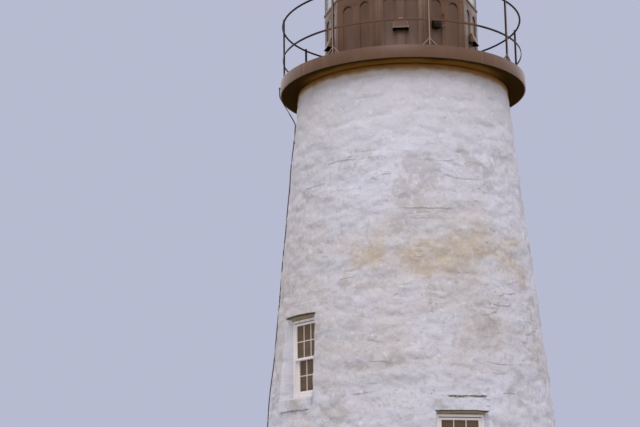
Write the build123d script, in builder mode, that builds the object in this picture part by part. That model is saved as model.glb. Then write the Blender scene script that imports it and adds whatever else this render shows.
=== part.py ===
"""A small round rubble-stone lighthouse with an iron gallery and a ten-sided lantern.

The origin is the centre of the tower's foot, +Z is up, and the side of the photograph
faces -Y. An azimuth is counted in degrees from that side, growing towards +X.
"""
from build123d import *
from math import asin, cos, degrees, pi, radians, sin, tan
import os

os.makedirs("parts", exist_ok=True)

# Masonry tower
wall_height = 8200.0
base_radius = 2315.0
head_radius = 1525.0
base_thickness = 915.0
head_thickness = 610.0
band_height = 45.0
floor_thickness = 150.0

# Window and door openings, each window with its azimuth and the height of its head
front_azimuth = 19.7
front_head = 3471.0
left_azimuth = -52.7
left_head = 4834.0
rear_azimuth = -128.0
rear_head = 6205.0
windows = ((front_azimuth, front_head), (left_azimuth, left_head), (rear_azimuth, rear_head))
door_azimuth = 120.0
window_width = 645.0
window_height = 1090.0
door_width = 850.0
door_height = 1950.0
window_splay = 23.0
door_splay = 13.5
opening_sector = 45.0

# Dressed stones at the openings
stone_projection = 14.0
lintel_height = 170.0
lintel_bearing = 60.0
lintel_depth = 260.0
lintel_splay = 40.0
sill_height = 195.0
sill_bearing = 40.0
sill_slope = 30.0

# Double-hung windows
frame_setback = 175.0
frame_width = 31.0
frame_depth = 130.0
sash_inset = 12.0
sash_thickness = 37.0
sash_gap = 2.0
sash_clearance = 1.0
stile_width = 39.0
bottom_rail = 65.0
meeting_rail = 32.0
glass_thickness = 4.0

# Entrance door
door_setback = 260.0
door_frame_width = 70.0
door_frame_depth = 120.0
door_leaf_thickness = 45.0
door_leaf_inset = 30.0
door_stop = 15.0
door_clearance = 3.0

# Gallery deck
deck_thickness = 172.0
deck_radius = 1784.0
fascia_thickness = 15.0
fascia_seam = 4.0
seam_azimuth = 39.0
fascia_plates = 4

# Gallery railing
rail_inset = 42.0
post_count = 8
post_azimuth = 12.7
post_size = 24.0
post_tip = 30.0
top_rail_height = 895.0
top_rail_diameter = 28.0
mid_rail_height = 375.0
mid_rail_tall = 28.0
mid_rail_thick = 10.0
foot_size = 70.0
foot_thickness = 8.0
brace_reach = 105.0
brace_height = 115.0
brace_width = 14.0

# Lantern parapet
sides = 10
lantern_radius = 1124.6
parapet_height = 1081.0
parapet_thickness = 45.0
corner_width = 27.0
recess_depth = 14.0
recess_width = 178.0
recess_pitch = 303.0
recess_foot = 245.0
recess_spring = 860.0
door_facet = 5
lantern_floor_thickness = 12.0
floor_clearance = 4.0

# Ventilator hoods and the small box on the parapet
hood_facets = (0, 2, 4, 6, 8)
hood_foot = 472.0
hood_spring = 584.0
hood_crown_width = 124.0
hood_top_width = 190.0
hood_bottom_width = 230.0
hood_projection = 85.0
hood_top_projection = 14.0
hood_metal = 6.0
box_facet = 1
box_width = 110.0
box_height = 110.0
box_depth = 90.0
box_foot = 505.0
box_offset = -177.0
box_corner = 8.0
conduit_diameter = 22.0
conduit_offset = -35.0
conduit_foot = 545.0
conduit_top = 740.0
conduit_bend = 38.0
conduit_clearance = 18.0
elbow_diameter = 34.0

# Lantern glazing
sill_ring_height = 28.0
ring_overhang = 12.0
ring_width = 80.0
glazing_height = 880.0
bar_width = 34.0
bar_depth = 50.0
pane_thickness = 8.0
pane_inset = 14.0
head_ring_height = 62.0

# Lantern roof
roof_overhang = 95.0
eave_height = 45.0
roof_rise = 600.0
roof_metal = 8.0
collar_radius = 125.0
collar_height = 110.0
collar_margin = 10.0
rib_width = 22.0
rib_height = 14.0
ball_radius = 185.0
ball_metal = 6.0
spike_height = 260.0
spike_radius = 11.0

# Earth cable down the wall, as share of the wall's height and distance from its face
cable_diameter = 16.0
cable_azimuth = -85.0
cable_start_gap = 4.0
cable_start_height = 140.0
cable_corner_drop = 45.0
cable_bends = (
    (0.957, 14.0),
    (0.915, 9.0),
    (0.860, 10.0),
    (0.787, 32.0),
    (0.713, 24.0),
    (0.640, 10.0),
    (0.573, 13.0),
    (0.530, 9.5),
    (0.494, 24.0),
    (0.463, 38.0),
    (0.427, 18.0),
    (0.366, 11.0),
    (0.293, 16.0),
    (0.207, 10.0),
    (0.122, 15.0),
    (0.049, 10.0),
    (0.0025, 12.0),
)
clip_shares = (0.915, 0.640, 0.530, 0.427, 0.207, 0.049)
clip_width = 34.0
clip_metal = 3.0
clip_reach = 14.0

# Levels and radii that follow from the sizes above
full_turn = 360.0
rail_radius = deck_radius - rail_inset
deck_top = wall_height + deck_thickness
parapet_top = deck_top + parapet_height
glass_foot = parapet_top + sill_ring_height
glass_top = glass_foot + glazing_height
eave_level = glass_top + head_ring_height
apothem_ratio = cos(pi / sides)
lantern_apothem = lantern_radius * apothem_ratio
side_length = 2 * lantern_radius * sin(pi / sides)
facet_angle = full_turn / sides


def wall_radius(height):
    """Outer radius of the tapered wall."""
    return base_radius - (base_radius - head_radius) * height / wall_height


def inner_radius(height):
    """Inner radius of the tapered wall."""
    foot = base_radius - base_thickness
    head = head_radius - head_thickness
    return foot - (foot - head) * height / wall_height


def facing(azimuth, reach=0.0, height=0.0):
    """Upright plane square to an azimuth, with +X along the wall and +Y up."""
    a = radians(azimuth)
    return Plane(
        origin=(reach * sin(a), -reach * cos(a), height),
        x_dir=(cos(a), sin(a), 0),
        z_dir=(sin(a), -cos(a), 0),
    )


def upright(azimuth):
    """Upright plane through the axis, with +X outwards and +Y up."""
    a = radians(azimuth)
    return Plane(origin=(0, 0, 0), x_dir=(sin(a), -cos(a), 0), z_dir=(-cos(a), -sin(a), 0))


def save(builder, label):
    """Label a finished piece and write its file."""
    builder.part.label = label
    export_step(builder.part, f"parts/{label}.step")


def window_face(head):
    """Distance of a window frame's outer face from the axis."""
    return wall_radius(head - window_height / 2) - frame_setback


def opening_form(azimuth, width, splay, head, foot, face, mode):
    """The space of an opening through the wall, its jambs splayed outside the frame."""
    reach = base_radius + base_thickness
    flare = (reach - face) * tan(radians(splay))
    a = radians(azimuth)
    level = Plane(origin=(0, 0, foot), x_dir=(sin(a), -cos(a), 0), z_dir=(0, 0, 1))
    with BuildSketch(level) as plan:
        Polygon(
            (0, -width / 2),
            (face, -width / 2),
            (reach, -width / 2 - flare),
            (reach, width / 2 + flare),
            (face, width / 2),
            (0, width / 2),
            align=None,
        )
    extrude(plan.sketch, amount=head - foot, mode=mode)


def lintel_block(azimuth, width, head, face, mode):
    """Lintel stone over an opening, its underside splayed up to the wall's face."""
    outer = wall_radius(head) + base_thickness
    inner = wall_radius(head) - lintel_depth
    with BuildSketch(upright(azimuth)) as section:
        Polygon(
            (inner, head - lintel_splay),
            (face, head - lintel_splay),
            (wall_radius(head), head),
            (outer, head),
            (outer, head + lintel_height),
            (inner, head + lintel_height),
            align=None,
        )
    extrude(section.sketch, amount=width / 2 + lintel_bearing, both=True, mode=mode)


def sill_block(azimuth, width, foot, face, mode):
    """Sill stone under a window, sloped outside the frame to shed rain."""
    outer = wall_radius(foot) + base_thickness
    nose = wall_radius(foot) + stone_projection
    nose_drop = sill_slope * (nose - face) / (wall_radius(foot) - face)
    with BuildSketch(upright(azimuth)) as section:
        Polygon(
            (face - frame_depth, foot - sill_height),
            (outer, foot - sill_height),
            (outer, foot - nose_drop),
            (nose, foot - nose_drop),
            (face, foot),
            (face - frame_depth, foot),
            align=None,
        )
    extrude(section.sketch, amount=width / 2 + sill_bearing, both=True, mode=mode)


def trim_to_face(projection):
    """Keep what lies within the wall's face moved outwards."""
    with BuildSketch(Plane.XZ) as section:
        Polygon(
            (0, 0),
            (base_radius + projection, 0),
            (head_radius + projection, wall_height),
            (0, wall_height),
            align=None,
        )
    revolve(section.sketch, axis=Axis.Z, mode=Mode.INTERSECT)


def wall_segment(label, start, end):
    """One upright segment of the round wall between two azimuths."""
    top = wall_height - band_height
    with BuildPart() as segment:
        with BuildSketch(upright(start)):
            Polygon(
                (inner_radius(0), 0),
                (wall_radius(0), 0),
                (wall_radius(top), top),
                (inner_radius(top), top),
                align=None,
            )
        revolve(axis=Axis.Z, revolution_arc=end - start)
        for azimuth, head in windows:
            if start < azimuth < end:
                foot = head - window_height
                face = window_face(head)
                opening_form(
                    azimuth,
                    window_width,
                    window_splay,
                    head - lintel_splay,
                    foot,
                    face,
                    Mode.SUBTRACT,
                )
                lintel_block(azimuth, window_width, head, face, Mode.SUBTRACT)
                sill_block(azimuth, window_width, foot, face, Mode.SUBTRACT)
        if start < door_azimuth < end:
            opening_form(
                door_azimuth,
                door_width,
                door_splay,
                door_head - lintel_splay,
                0,
                door_face,
                Mode.SUBTRACT,
            )
            lintel_block(door_azimuth, door_width, door_head, door_face, Mode.SUBTRACT)
    save(segment, label)


# Round wall, each opening in the middle of its own segment
half = opening_sector / 2
door_head = floor_thickness + door_height
door_face = wall_radius(door_head / 2) - door_setback
front_start, front_end = front_azimuth - half, front_azimuth + half
left_start, left_end = left_azimuth - half, left_azimuth + half
rear_start, rear_end = rear_azimuth - half, rear_azimuth + half
door_start, door_end = door_azimuth - half, door_azimuth + half
right_middle = (front_end + door_start) / 2
back_middle = (door_end + rear_start + full_turn) / 2
wall_segment("wall_front_window", front_start, front_end)
wall_segment("wall_left_window", left_start, left_end)
wall_segment("wall_rear_window", rear_start, rear_end)
wall_segment("wall_door", door_start, door_end)
wall_segment("wall_front", left_end, front_start)
wall_segment("wall_right_front", front_end, right_middle)
wall_segment("wall_right_rear", right_middle, door_start)
wall_segment("wall_back_right", door_end, back_middle)
wall_segment("wall_back_left", back_middle, rear_start + full_turn)
wall_segment("wall_left", rear_end, left_start)

# Band under the gallery
with BuildPart() as wall_band:
    with BuildSketch(Plane.XY.offset(wall_height - band_height)):
        Circle(wall_radius(wall_height - band_height))
        Circle(inner_radius(wall_height - band_height), mode=Mode.SUBTRACT)
    extrude(amount=band_height)
save(wall_band, "wall_band")

# Ground floor
with BuildPart() as ground_floor:
    with BuildSketch(Plane.XZ):
        Polygon(
            (0, 0),
            (inner_radius(0), 0),
            (inner_radius(floor_thickness), floor_thickness),
            (0, floor_thickness),
            align=None,
        )
    revolve(axis=Axis.Z)
save(ground_floor, "ground_floor")

# Lintels and sills
with BuildPart() as window_lintels:
    for azimuth, head in windows:
        lintel_block(azimuth, window_width, head, window_face(head), Mode.ADD)
    trim_to_face(stone_projection)
save(window_lintels, "window_lintels")

with BuildPart() as window_sills:
    for azimuth, head in windows:
        foot = head - window_height
        sill_block(azimuth, window_width, foot, window_face(head), Mode.ADD)
    trim_to_face(stone_projection)
save(window_sills, "window_sills")

with BuildPart() as door_lintel:
    lintel_block(door_azimuth, door_width, door_head, door_face, Mode.ADD)
    trim_to_face(stone_projection)
save(door_lintel, "door_lintel")

with BuildPart() as door_threshold:
    with BuildSketch(upright(door_azimuth)):
        Polygon(
            (inner_radius(0), 0),
            (wall_radius(0), 0),
            (wall_radius(floor_thickness), floor_thickness),
            (inner_radius(floor_thickness), floor_thickness),
            align=None,
        )
    revolve(axis=Axis.Z, revolution_arc=half)
    mirror(about=upright(door_azimuth))
    opening_form(
        door_azimuth, door_width, door_splay, floor_thickness, 0, door_face, Mode.INTERSECT
    )
save(door_threshold, "door_threshold")

# Window frames, sashes and glass
window_open_height = window_height - lintel_splay
with BuildPart() as window_frames:
    for azimuth, head in windows:
        middle = head - lintel_splay - window_open_height / 2
        with BuildSketch(facing(azimuth, window_face(head), middle)):
            Rectangle(window_width, window_open_height)
            offset(amount=-frame_width, mode=Mode.SUBTRACT)
        extrude(amount=-frame_depth)
save(window_frames, "window_frames")

sash_width = window_width - 2 * frame_width - 2 * sash_clearance
light_height = window_open_height - 2 * frame_width - 2 * sash_clearance
sash_height = (light_height + meeting_rail) / 2
glass_width = sash_width - 2 * stile_width
upper_glass = sash_height - stile_width - meeting_rail
lower_glass = sash_height - bottom_rail - meeting_rail


def sash_plane(azimuth, head, depth, upper):
    """Outer face of one sash, with its origin at the middle of that sash."""
    top = head - lintel_splay - frame_width - sash_clearance
    middle = top - sash_height / 2 if upper else top - light_height + sash_height / 2
    return facing(azimuth, window_face(head) - depth, middle)


lower_inset = sash_inset + sash_thickness + sash_gap
upper_offset = (meeting_rail - stile_width) / 2
lower_offset = (bottom_rail - meeting_rail) / 2
with BuildPart() as upper_sashes:
    for azimuth, head in windows:
        with BuildSketch(sash_plane(azimuth, head, sash_inset, True)):
            Rectangle(sash_width, sash_height)
            with Locations((0, upper_offset)):
                Rectangle(glass_width, upper_glass, mode=Mode.SUBTRACT)
        extrude(amount=-sash_thickness)
save(upper_sashes, "upper_sashes")

with BuildPart() as lower_sashes:
    for azimuth, head in windows:
        with BuildSketch(sash_plane(azimuth, head, lower_inset, False)):
            Rectangle(sash_width, sash_height)
            with Locations((0, lower_offset)):
                Rectangle(glass_width, lower_glass, mode=Mode.SUBTRACT)
        extrude(amount=-sash_thickness)
save(lower_sashes, "lower_sashes")

glass_inset = (sash_thickness - glass_thickness) / 2
with BuildPart() as window_glass:
    for azimuth, head in windows:
        with BuildSketch(sash_plane(azimuth, head, sash_inset + glass_inset, True)):
            with Locations((0, upper_offset)):
                Rectangle(glass_width, upper_glass)
        extrude(amount=-glass_thickness)
        with BuildSketch(sash_plane(azimuth, head, lower_inset + glass_inset, False)):
            with Locations((0, lower_offset)):
                Rectangle(glass_width, lower_glass)
        extrude(amount=-glass_thickness)
save(window_glass, "window_glass")

# Entrance door in its frame
door_open_height = door_height - lintel_splay
door_middle = floor_thickness + door_open_height / 2
leaf_width = door_width - 2 * door_frame_width - 2 * door_clearance
leaf_height = door_open_height - door_frame_width - 2 * door_clearance
leaf_middle = floor_thickness + door_clearance + leaf_height / 2
with BuildPart() as door_frame:
    with BuildSketch(facing(door_azimuth, door_face, door_middle)):
        Rectangle(door_width, door_open_height)
        with Locations((0, -door_frame_width / 2)):
            Rectangle(
                door_width - 2 * door_frame_width,
                door_open_height - door_frame_width,
                mode=Mode.SUBTRACT,
            )
    extrude(amount=-door_frame_depth)
    stop_face = door_face - door_leaf_inset - door_leaf_thickness
    with BuildSketch(facing(door_azimuth, stop_face, door_middle)):
        Rectangle(door_width, door_open_height)
        with Locations((0, -door_frame_width / 2 - door_stop / 2)):
            Rectangle(
                door_width - 2 * door_frame_width - 2 * door_stop,
                door_open_height - door_frame_width - door_stop,
                mode=Mode.SUBTRACT,
            )
    extrude(amount=-door_stop)
save(door_frame, "door_frame")

with BuildPart() as door_leaf:
    with BuildSketch(facing(door_azimuth, door_face - door_leaf_inset, leaf_middle)):
        Rectangle(leaf_width, leaf_height)
    extrude(amount=-door_leaf_thickness)
save(door_leaf, "door_leaf")

# Gallery deck and its fascia
with BuildPart() as gallery_deck:
    with BuildSketch(Plane.XY.offset(wall_height)):
        Circle(deck_radius - fascia_thickness)
        Circle(inner_radius(wall_height), mode=Mode.SUBTRACT)
    extrude(amount=deck_thickness)
save(gallery_deck, "gallery_deck")

plate_arc = full_turn / fascia_plates
seam_arc = degrees(fascia_seam / deck_radius)
with BuildPart() as gallery_fascia:
    for plate in range(fascia_plates):
        start = seam_azimuth + plate * plate_arc + seam_arc / 2
        with BuildSketch(upright(start)):
            with Locations((deck_radius - fascia_thickness, wall_height)):
                Rectangle(fascia_thickness, deck_thickness, align=(Align.MIN, Align.MIN))
        revolve(axis=Axis.Z, revolution_arc=plate_arc - seam_arc)
save(gallery_fascia, "gallery_fascia")

# Gallery railing
post_arc = full_turn / post_count
posts = [post_azimuth + post * post_arc for post in range(post_count)]
post_top = top_rail_height + post_tip
with BuildPart() as rail_posts:
    for azimuth in posts:
        with BuildSketch(facing(azimuth, rail_radius - post_size / 2, deck_top)):
            Rectangle(post_size, post_top, align=(Align.CENTER, Align.MIN))
        extrude(amount=post_size)
        with BuildSketch(facing(azimuth, rail_radius - foot_size / 2, deck_top)):
            Rectangle(foot_size, foot_thickness, align=(Align.CENTER, Align.MIN))
        extrude(amount=foot_size)
        with BuildSketch(facing(azimuth, rail_radius - brace_width / 2, deck_top)):
            for side in (-1, 1):
                Polygon(
                    (0, brace_height),
                    (0, brace_height - brace_width * 2),
                    (side * (brace_reach - brace_width), 0),
                    (side * (brace_reach + brace_width), 0),
                    align=None,
                )
        extrude(amount=brace_width)
save(rail_posts, "rail_posts")


def rail_gap(thickness):
    """Angle from a post's middle to the end of a rail that butts against it."""
    return degrees(asin(post_size / 2 / (rail_radius - thickness / 2)))


with BuildPart() as top_rail:
    gap = rail_gap(top_rail_diameter)
    for azimuth in posts:
        with BuildSketch(upright(azimuth + gap)):
            with Locations((rail_radius, deck_top + top_rail_height)):
                Circle(top_rail_diameter / 2)
        revolve(axis=Axis.Z, revolution_arc=post_arc - 2 * gap)
save(top_rail, "top_rail")

with BuildPart() as mid_rail:
    gap = rail_gap(mid_rail_thick)
    for azimuth in posts:
        with BuildSketch(upright(azimuth + gap)):
            with Locations((rail_radius, deck_top + mid_rail_height)):
                Rectangle(mid_rail_thick, mid_rail_tall)
        revolve(axis=Axis.Z, revolution_arc=post_arc - 2 * gap)
save(mid_rail, "mid_rail")

# Lantern floor and parapet
inner_apothem = lantern_apothem - parapet_thickness
plate_width = side_length - 2 * corner_width
with BuildPart() as lantern_floor:
    with BuildSketch(Plane.XY.offset(deck_top)):
        RegularPolygon(inner_apothem - floor_clearance, sides, major_radius=False)
    extrude(amount=lantern_floor_thickness)
save(lantern_floor, "lantern_floor")


def arched_recess(width, foot, spring, offset_x):
    """Round-headed outline standing at a height on the current sketch."""
    with Locations((offset_x, foot)):
        Rectangle(width, spring - foot, align=(Align.CENTER, Align.MIN))
    with Locations((offset_x, spring)):
        Circle(width / 2)


with BuildPart() as parapet_panels:
    for facet in range(sides):
        if facet == door_facet:
            continue
        plane = facing(facet * facet_angle, lantern_apothem, deck_top)
        with BuildSketch(plane):
            Rectangle(plate_width, parapet_height, align=(Align.CENTER, Align.MIN))
        extrude(amount=-parapet_thickness)
        with BuildSketch(plane):
            for side in (-1, 1):
                arched_recess(recess_width, recess_foot, recess_spring, side * recess_pitch / 2)
        extrude(amount=-recess_depth, mode=Mode.SUBTRACT)
save(parapet_panels, "parapet_panels")

with BuildPart() as gallery_door:
    plane = facing(door_facet * facet_angle, lantern_apothem, deck_top)
    with BuildSketch(plane):
        Rectangle(plate_width, parapet_height, align=(Align.CENTER, Align.MIN))
    extrude(amount=-parapet_thickness)
    with BuildSketch(plane):
        with Locations((0, parapet_height / 2)):
            Rectangle(plate_width - 2 * corner_width, parapet_height - 2 * corner_width)
            Rectangle(
                plate_width - 4 * corner_width,
                parapet_height - 4 * corner_width,
                mode=Mode.SUBTRACT,
            )
    extrude(amount=-recess_depth / 2, mode=Mode.SUBTRACT)
save(gallery_door, "gallery_door")

with BuildPart() as corner_posts:
    with BuildSketch(Plane.XY.offset(deck_top)):
        RegularPolygon(lantern_apothem, sides, major_radius=False)
        RegularPolygon(inner_apothem, sides, major_radius=False, mode=Mode.SUBTRACT)
        for facet in range(sides):
            with Locations(Location((0, 0), facet * facet_angle - 90)):
                Rectangle(
                    lantern_radius * 2,
                    plate_width,
                    align=(Align.MIN, Align.CENTER),
                    mode=Mode.SUBTRACT,
                )
    extrude(amount=parapet_height)
save(corner_posts, "corner_posts")

# Ventilator hoods on alternate facets, open underneath
hood_crown = hood_spring + hood_crown_width / 2
hood_back = lantern_apothem - recess_depth


def hood_form(metal):
    """The hood's outer form, or with a metal thickness the space under it."""
    bottom = hood_bottom_width / 2 - metal
    top = hood_top_width / 2 - metal
    with BuildSketch(facing(0, hood_back, deck_top)) as front:
        Polygon(
            (-bottom, hood_foot),
            (bottom, hood_foot),
            (top, hood_spring),
            (-top, hood_spring),
            align=None,
        )
        with Locations((0, hood_spring)):
            Circle(hood_crown_width / 2 - metal)
    extrude(front.sketch, amount=recess_depth + hood_projection)
    with BuildSketch(upright(0)) as section:
        Polygon(
            (hood_back, deck_top + hood_foot),
            (lantern_apothem + hood_projection - metal, deck_top + hood_foot),
            (lantern_apothem + hood_top_projection - metal, deck_top + hood_crown - metal),
            (hood_back, deck_top + hood_crown - metal),
            align=None,
        )
    extrude(section.sketch, amount=hood_bottom_width, both=True, mode=Mode.INTERSECT)


with BuildPart() as hood_space:
    hood_form(hood_metal)

with BuildPart() as hood:
    hood_form(0)
    add(hood_space.part, mode=Mode.SUBTRACT)
    with BuildSketch(facing(0, hood_back, deck_top)):
        Rectangle(
            recess_pitch - recess_width, parapet_height, align=(Align.CENTER, Align.MIN)
        )
    extrude(amount=recess_depth, mode=Mode.SUBTRACT)

with BuildPart() as vent_hoods:
    for facet in hood_facets:
        with Locations(Location((0, 0, 0), (0, 0, facet * facet_angle))):
            add(hood.part)
save(vent_hoods, "vent_hoods")

# Small iron box on one panel, with a conduit bent into the wall above it
box_plane = facing(box_facet * facet_angle, lantern_apothem - recess_depth, deck_top)
with BuildPart() as parapet_box:
    with BuildSketch(box_plane):
        with Locations((box_offset, box_foot)):
            Rectangle(box_width, box_height, align=(Align.CENTER, Align.MIN))
    extrude(amount=box_depth)
    fillet(parapet_box.edges().filter_by(Axis((0, 0, 0), box_plane.z_dir)), box_corner)
    conduit_plane = facing(
        box_facet * facet_angle,
        lantern_apothem + conduit_clearance + conduit_diameter / 2,
        deck_top,
    )
    with BuildLine(conduit_plane) as conduit_path:
        FilletPolyline(
            (box_offset + box_width / 2 - box_corner, conduit_foot),
            (conduit_offset, conduit_foot),
            (conduit_offset, conduit_top),
            radius=conduit_bend,
        )
    with BuildSketch(Plane(origin=conduit_path.line @ 0, z_dir=conduit_path.line % 0)):
        Circle(conduit_diameter / 2)
    sweep(path=conduit_path.line)
    with BuildSketch(facing(box_facet * facet_angle, lantern_apothem, deck_top)):
        with Locations((conduit_offset, conduit_top)):
            Circle(elbow_diameter / 2)
    extrude(amount=conduit_clearance + conduit_diameter / 2 + elbow_diameter / 2)
save(parapet_box, "parapet_box")


def decagon_ring(apothem, width, foot, height):
    """Ten-sided flat ring on a level."""
    with BuildSketch(Plane.XY.offset(foot)) as ring:
        RegularPolygon(apothem, sides, major_radius=False)
        RegularPolygon(apothem - width, sides, major_radius=False, mode=Mode.SUBTRACT)
    extrude(ring.sketch, amount=height)


# Glazing between a sill ring and a head ring
ring_apothem = lantern_apothem + ring_overhang
with BuildPart() as glazing_sill:
    decagon_ring(ring_apothem, ring_width, parapet_top, sill_ring_height)
save(glazing_sill, "glazing_sill")

with BuildPart() as glazing_head:
    decagon_ring(ring_apothem, ring_width, glass_top, head_ring_height)
save(glazing_head, "glazing_head")

with BuildPart() as glazing_bars:
    for corner in range(sides):
        azimuth = (corner + 0.5) * facet_angle
        reach = lantern_radius - bar_width / 2 * tan(pi / sides)
        with BuildSketch(facing(azimuth, reach, glass_foot)):
            Rectangle(bar_width, glazing_height, align=(Align.CENTER, Align.MIN))
        extrude(amount=-bar_depth)
save(glazing_bars, "glazing_bars")

pane_face = lantern_apothem - pane_inset
pane_half = ((pane_face - pane_thickness) * sin(pi / sides) - bar_width / 2) / cos(pi / sides)
with BuildPart() as glazing_panes:
    for facet in range(sides):
        with BuildSketch(facing(facet * facet_angle, pane_face, glass_foot)):
            Rectangle(2 * pane_half, glazing_height, align=(Align.CENTER, Align.MIN))
        extrude(amount=-pane_thickness)
save(glazing_panes, "glazing_panes")

# Roof of sheet metal with a boxed eave, hollow inside
eave_apothem = lantern_apothem + roof_overhang
crown_apothem = collar_radius + collar_margin
slope_foot = eave_level + eave_height
roof_top = slope_foot + roof_rise
pitch_run = eave_apothem - crown_apothem
pitch_length = (pitch_run ** 2 + roof_rise ** 2) ** 0.5
drop = roof_metal * pitch_length / pitch_run
lining_foot = slope_foot - drop + roof_metal * roof_rise / pitch_run
with BuildPart() as roof_body:
    with BuildSketch(Plane.XY.offset(eave_level)):
        RegularPolygon(eave_apothem, sides, major_radius=False)
    extrude(amount=eave_height)
    with BuildSketch(Plane.XY.offset(slope_foot)):
        RegularPolygon(eave_apothem, sides, major_radius=False)
    with BuildSketch(Plane.XY.offset(roof_top)):
        RegularPolygon(crown_apothem, sides, major_radius=False)
    loft()

with BuildPart() as roof_space:
    with BuildSketch(Plane.XY.offset(eave_level + roof_metal)):
        RegularPolygon(eave_apothem - roof_metal, sides, major_radius=False)
    extrude(amount=lining_foot - eave_level - roof_metal)
    with BuildSketch(Plane.XY.offset(lining_foot)):
        RegularPolygon(eave_apothem - roof_metal, sides, major_radius=False)
    with BuildSketch(Plane.XY.offset(roof_top - drop)):
        RegularPolygon(crown_apothem, sides, major_radius=False)
    loft()

with BuildPart() as roof:
    add(roof_body.part)
    add(roof_space.part, mode=Mode.SUBTRACT)
    with BuildSketch(Plane.XY.offset(eave_level)):
        RegularPolygon(ring_apothem - ring_width, sides, major_radius=False)
    extrude(amount=roof_metal, mode=Mode.SUBTRACT)
    with BuildSketch(Plane.XY.offset(roof_top - drop)):
        Circle(collar_radius - ball_metal)
    extrude(amount=drop, mode=Mode.SUBTRACT)
save(roof, "roof")

with BuildPart() as roof_ribs:
    for corner in range(sides):
        with BuildSketch(upright((corner + 0.5) * facet_angle)):
            Polygon(
                (eave_apothem / apothem_ratio, slope_foot),
                (eave_apothem / apothem_ratio, slope_foot + rib_height),
                (crown_apothem / apothem_ratio, roof_top + rib_height),
                (crown_apothem / apothem_ratio, roof_top),
                (crown_apothem / apothem_ratio, roof_top - rib_height),
                (eave_apothem / apothem_ratio, slope_foot - rib_height),
                align=None,
            )
        extrude(amount=rib_width / 2, both=True)
    add(roof_body.part, mode=Mode.SUBTRACT)
    with BuildSketch(Plane.XY.offset(eave_level)):
        RegularPolygon(eave_apothem, sides, major_radius=False)
    extrude(amount=roof_rise * 2, mode=Mode.INTERSECT)
save(roof_ribs, "roof_ribs")

# Ventilator ball on its collar, and the lightning rod
collar_top = roof_top + collar_height
ball_centre = collar_top + (ball_radius ** 2 - collar_radius ** 2) ** 0.5
ball_top = ball_centre + ball_radius
with BuildPart() as vent_collar:
    with BuildSketch(Plane.XY.offset(roof_top)):
        Circle(collar_radius)
        Circle(collar_radius - ball_metal, mode=Mode.SUBTRACT)
    extrude(amount=collar_height)
save(vent_collar, "vent_collar")

with BuildPart() as vent_ball:
    with Locations((0, 0, ball_centre)):
        Sphere(ball_radius)
        Sphere(ball_radius - ball_metal, mode=Mode.SUBTRACT)
    split(bisect_by=Plane.XY.offset(collar_top), keep=Keep.TOP)
save(vent_ball, "vent_ball")

with BuildPart() as lightning_rod:
    with BuildSketch(Plane.XZ):
        Polygon(
            (0, ball_centre),
            (spike_radius * 3, ball_centre),
            (spike_radius * 3, ball_top + spike_radius),
            (spike_radius, ball_top + spike_radius * 3),
            (spike_radius / 3, ball_top + spike_height),
            (0, ball_top + spike_height),
            align=None,
        )
    revolve(axis=Axis.Z)
    with Locations((0, 0, ball_centre)):
        Sphere(ball_radius, mode=Mode.SUBTRACT)
save(lightning_rod, "lightning_rod")

# Earth cable down the wall
centre_offset = cable_diameter / 2
cable_start = deck_radius + cable_start_gap + centre_offset
cable_route = [
    (cable_start, wall_height + cable_start_height),
    (cable_start, wall_height - cable_corner_drop),
]
for share, gap in cable_bends:
    height = share * wall_height
    cable_route.append((wall_radius(height) + gap + centre_offset, height))


def bend_radius(before, corner, after):
    """Largest easy bend between two runs of the cable."""
    first = Vector(corner) - Vector(before)
    second = Vector(after) - Vector(corner)
    turn = radians(first.get_angle(second))
    return 0.45 * min(first.length, second.length) / tan(turn / 2)


cable_radii = []
for index in range(1, len(cable_route) - 1):
    cable_radii.append(bend_radius(*cable_route[index - 1:index + 2]))
with BuildPart() as earth_cable:
    with BuildLine(upright(cable_azimuth)) as cable_path:
        FilletPolyline(*cable_route, radius=cable_radii)
    with BuildSketch(Plane(origin=cable_path.line @ 0, z_dir=cable_path.line % 0)):
        Circle(centre_offset)
    sweep(path=cable_path.line)
save(earth_cable, "earth_cable")

# Clips that hold the cable to the fascia and the wall
with BuildPart() as cable_clips:
    with BuildSketch(upright(cable_azimuth)):
        for share in clip_shares:
            low = share * wall_height - clip_width / 2
            high = low + clip_width
            reach = clip_metal + cable_diameter + clip_reach
            Polygon(
                (wall_radius(low), low),
                (wall_radius(low) + reach, low),
                (wall_radius(high) + reach, high),
                (wall_radius(high), high),
                align=None,
            )
        with Locations((deck_radius, wall_height + cable_start_height - clip_width)):
            Rectangle(
                clip_metal + cable_diameter + cable_start_gap,
                clip_width,
                align=(Align.MIN, Align.MIN),
            )
    extrude(amount=centre_offset + clip_metal, both=True)
    add(earth_cable.part, mode=Mode.SUBTRACT)
save(cable_clips, "cable_clips")
print("cable bend radii", [round(value) for value in cable_radii])
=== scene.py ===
"""A small round stone lighthouse, dressed in limewash, painted iron and glass.

Lengths are metres, +Z is up, and the side of the photograph faces -Y. An azimuth is
counted in degrees from that side, growing towards +X. A place given as across, out and up
is seen at an azimuth: across along the wall, out from the tower's axis, and up from its foot.
"""

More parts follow.
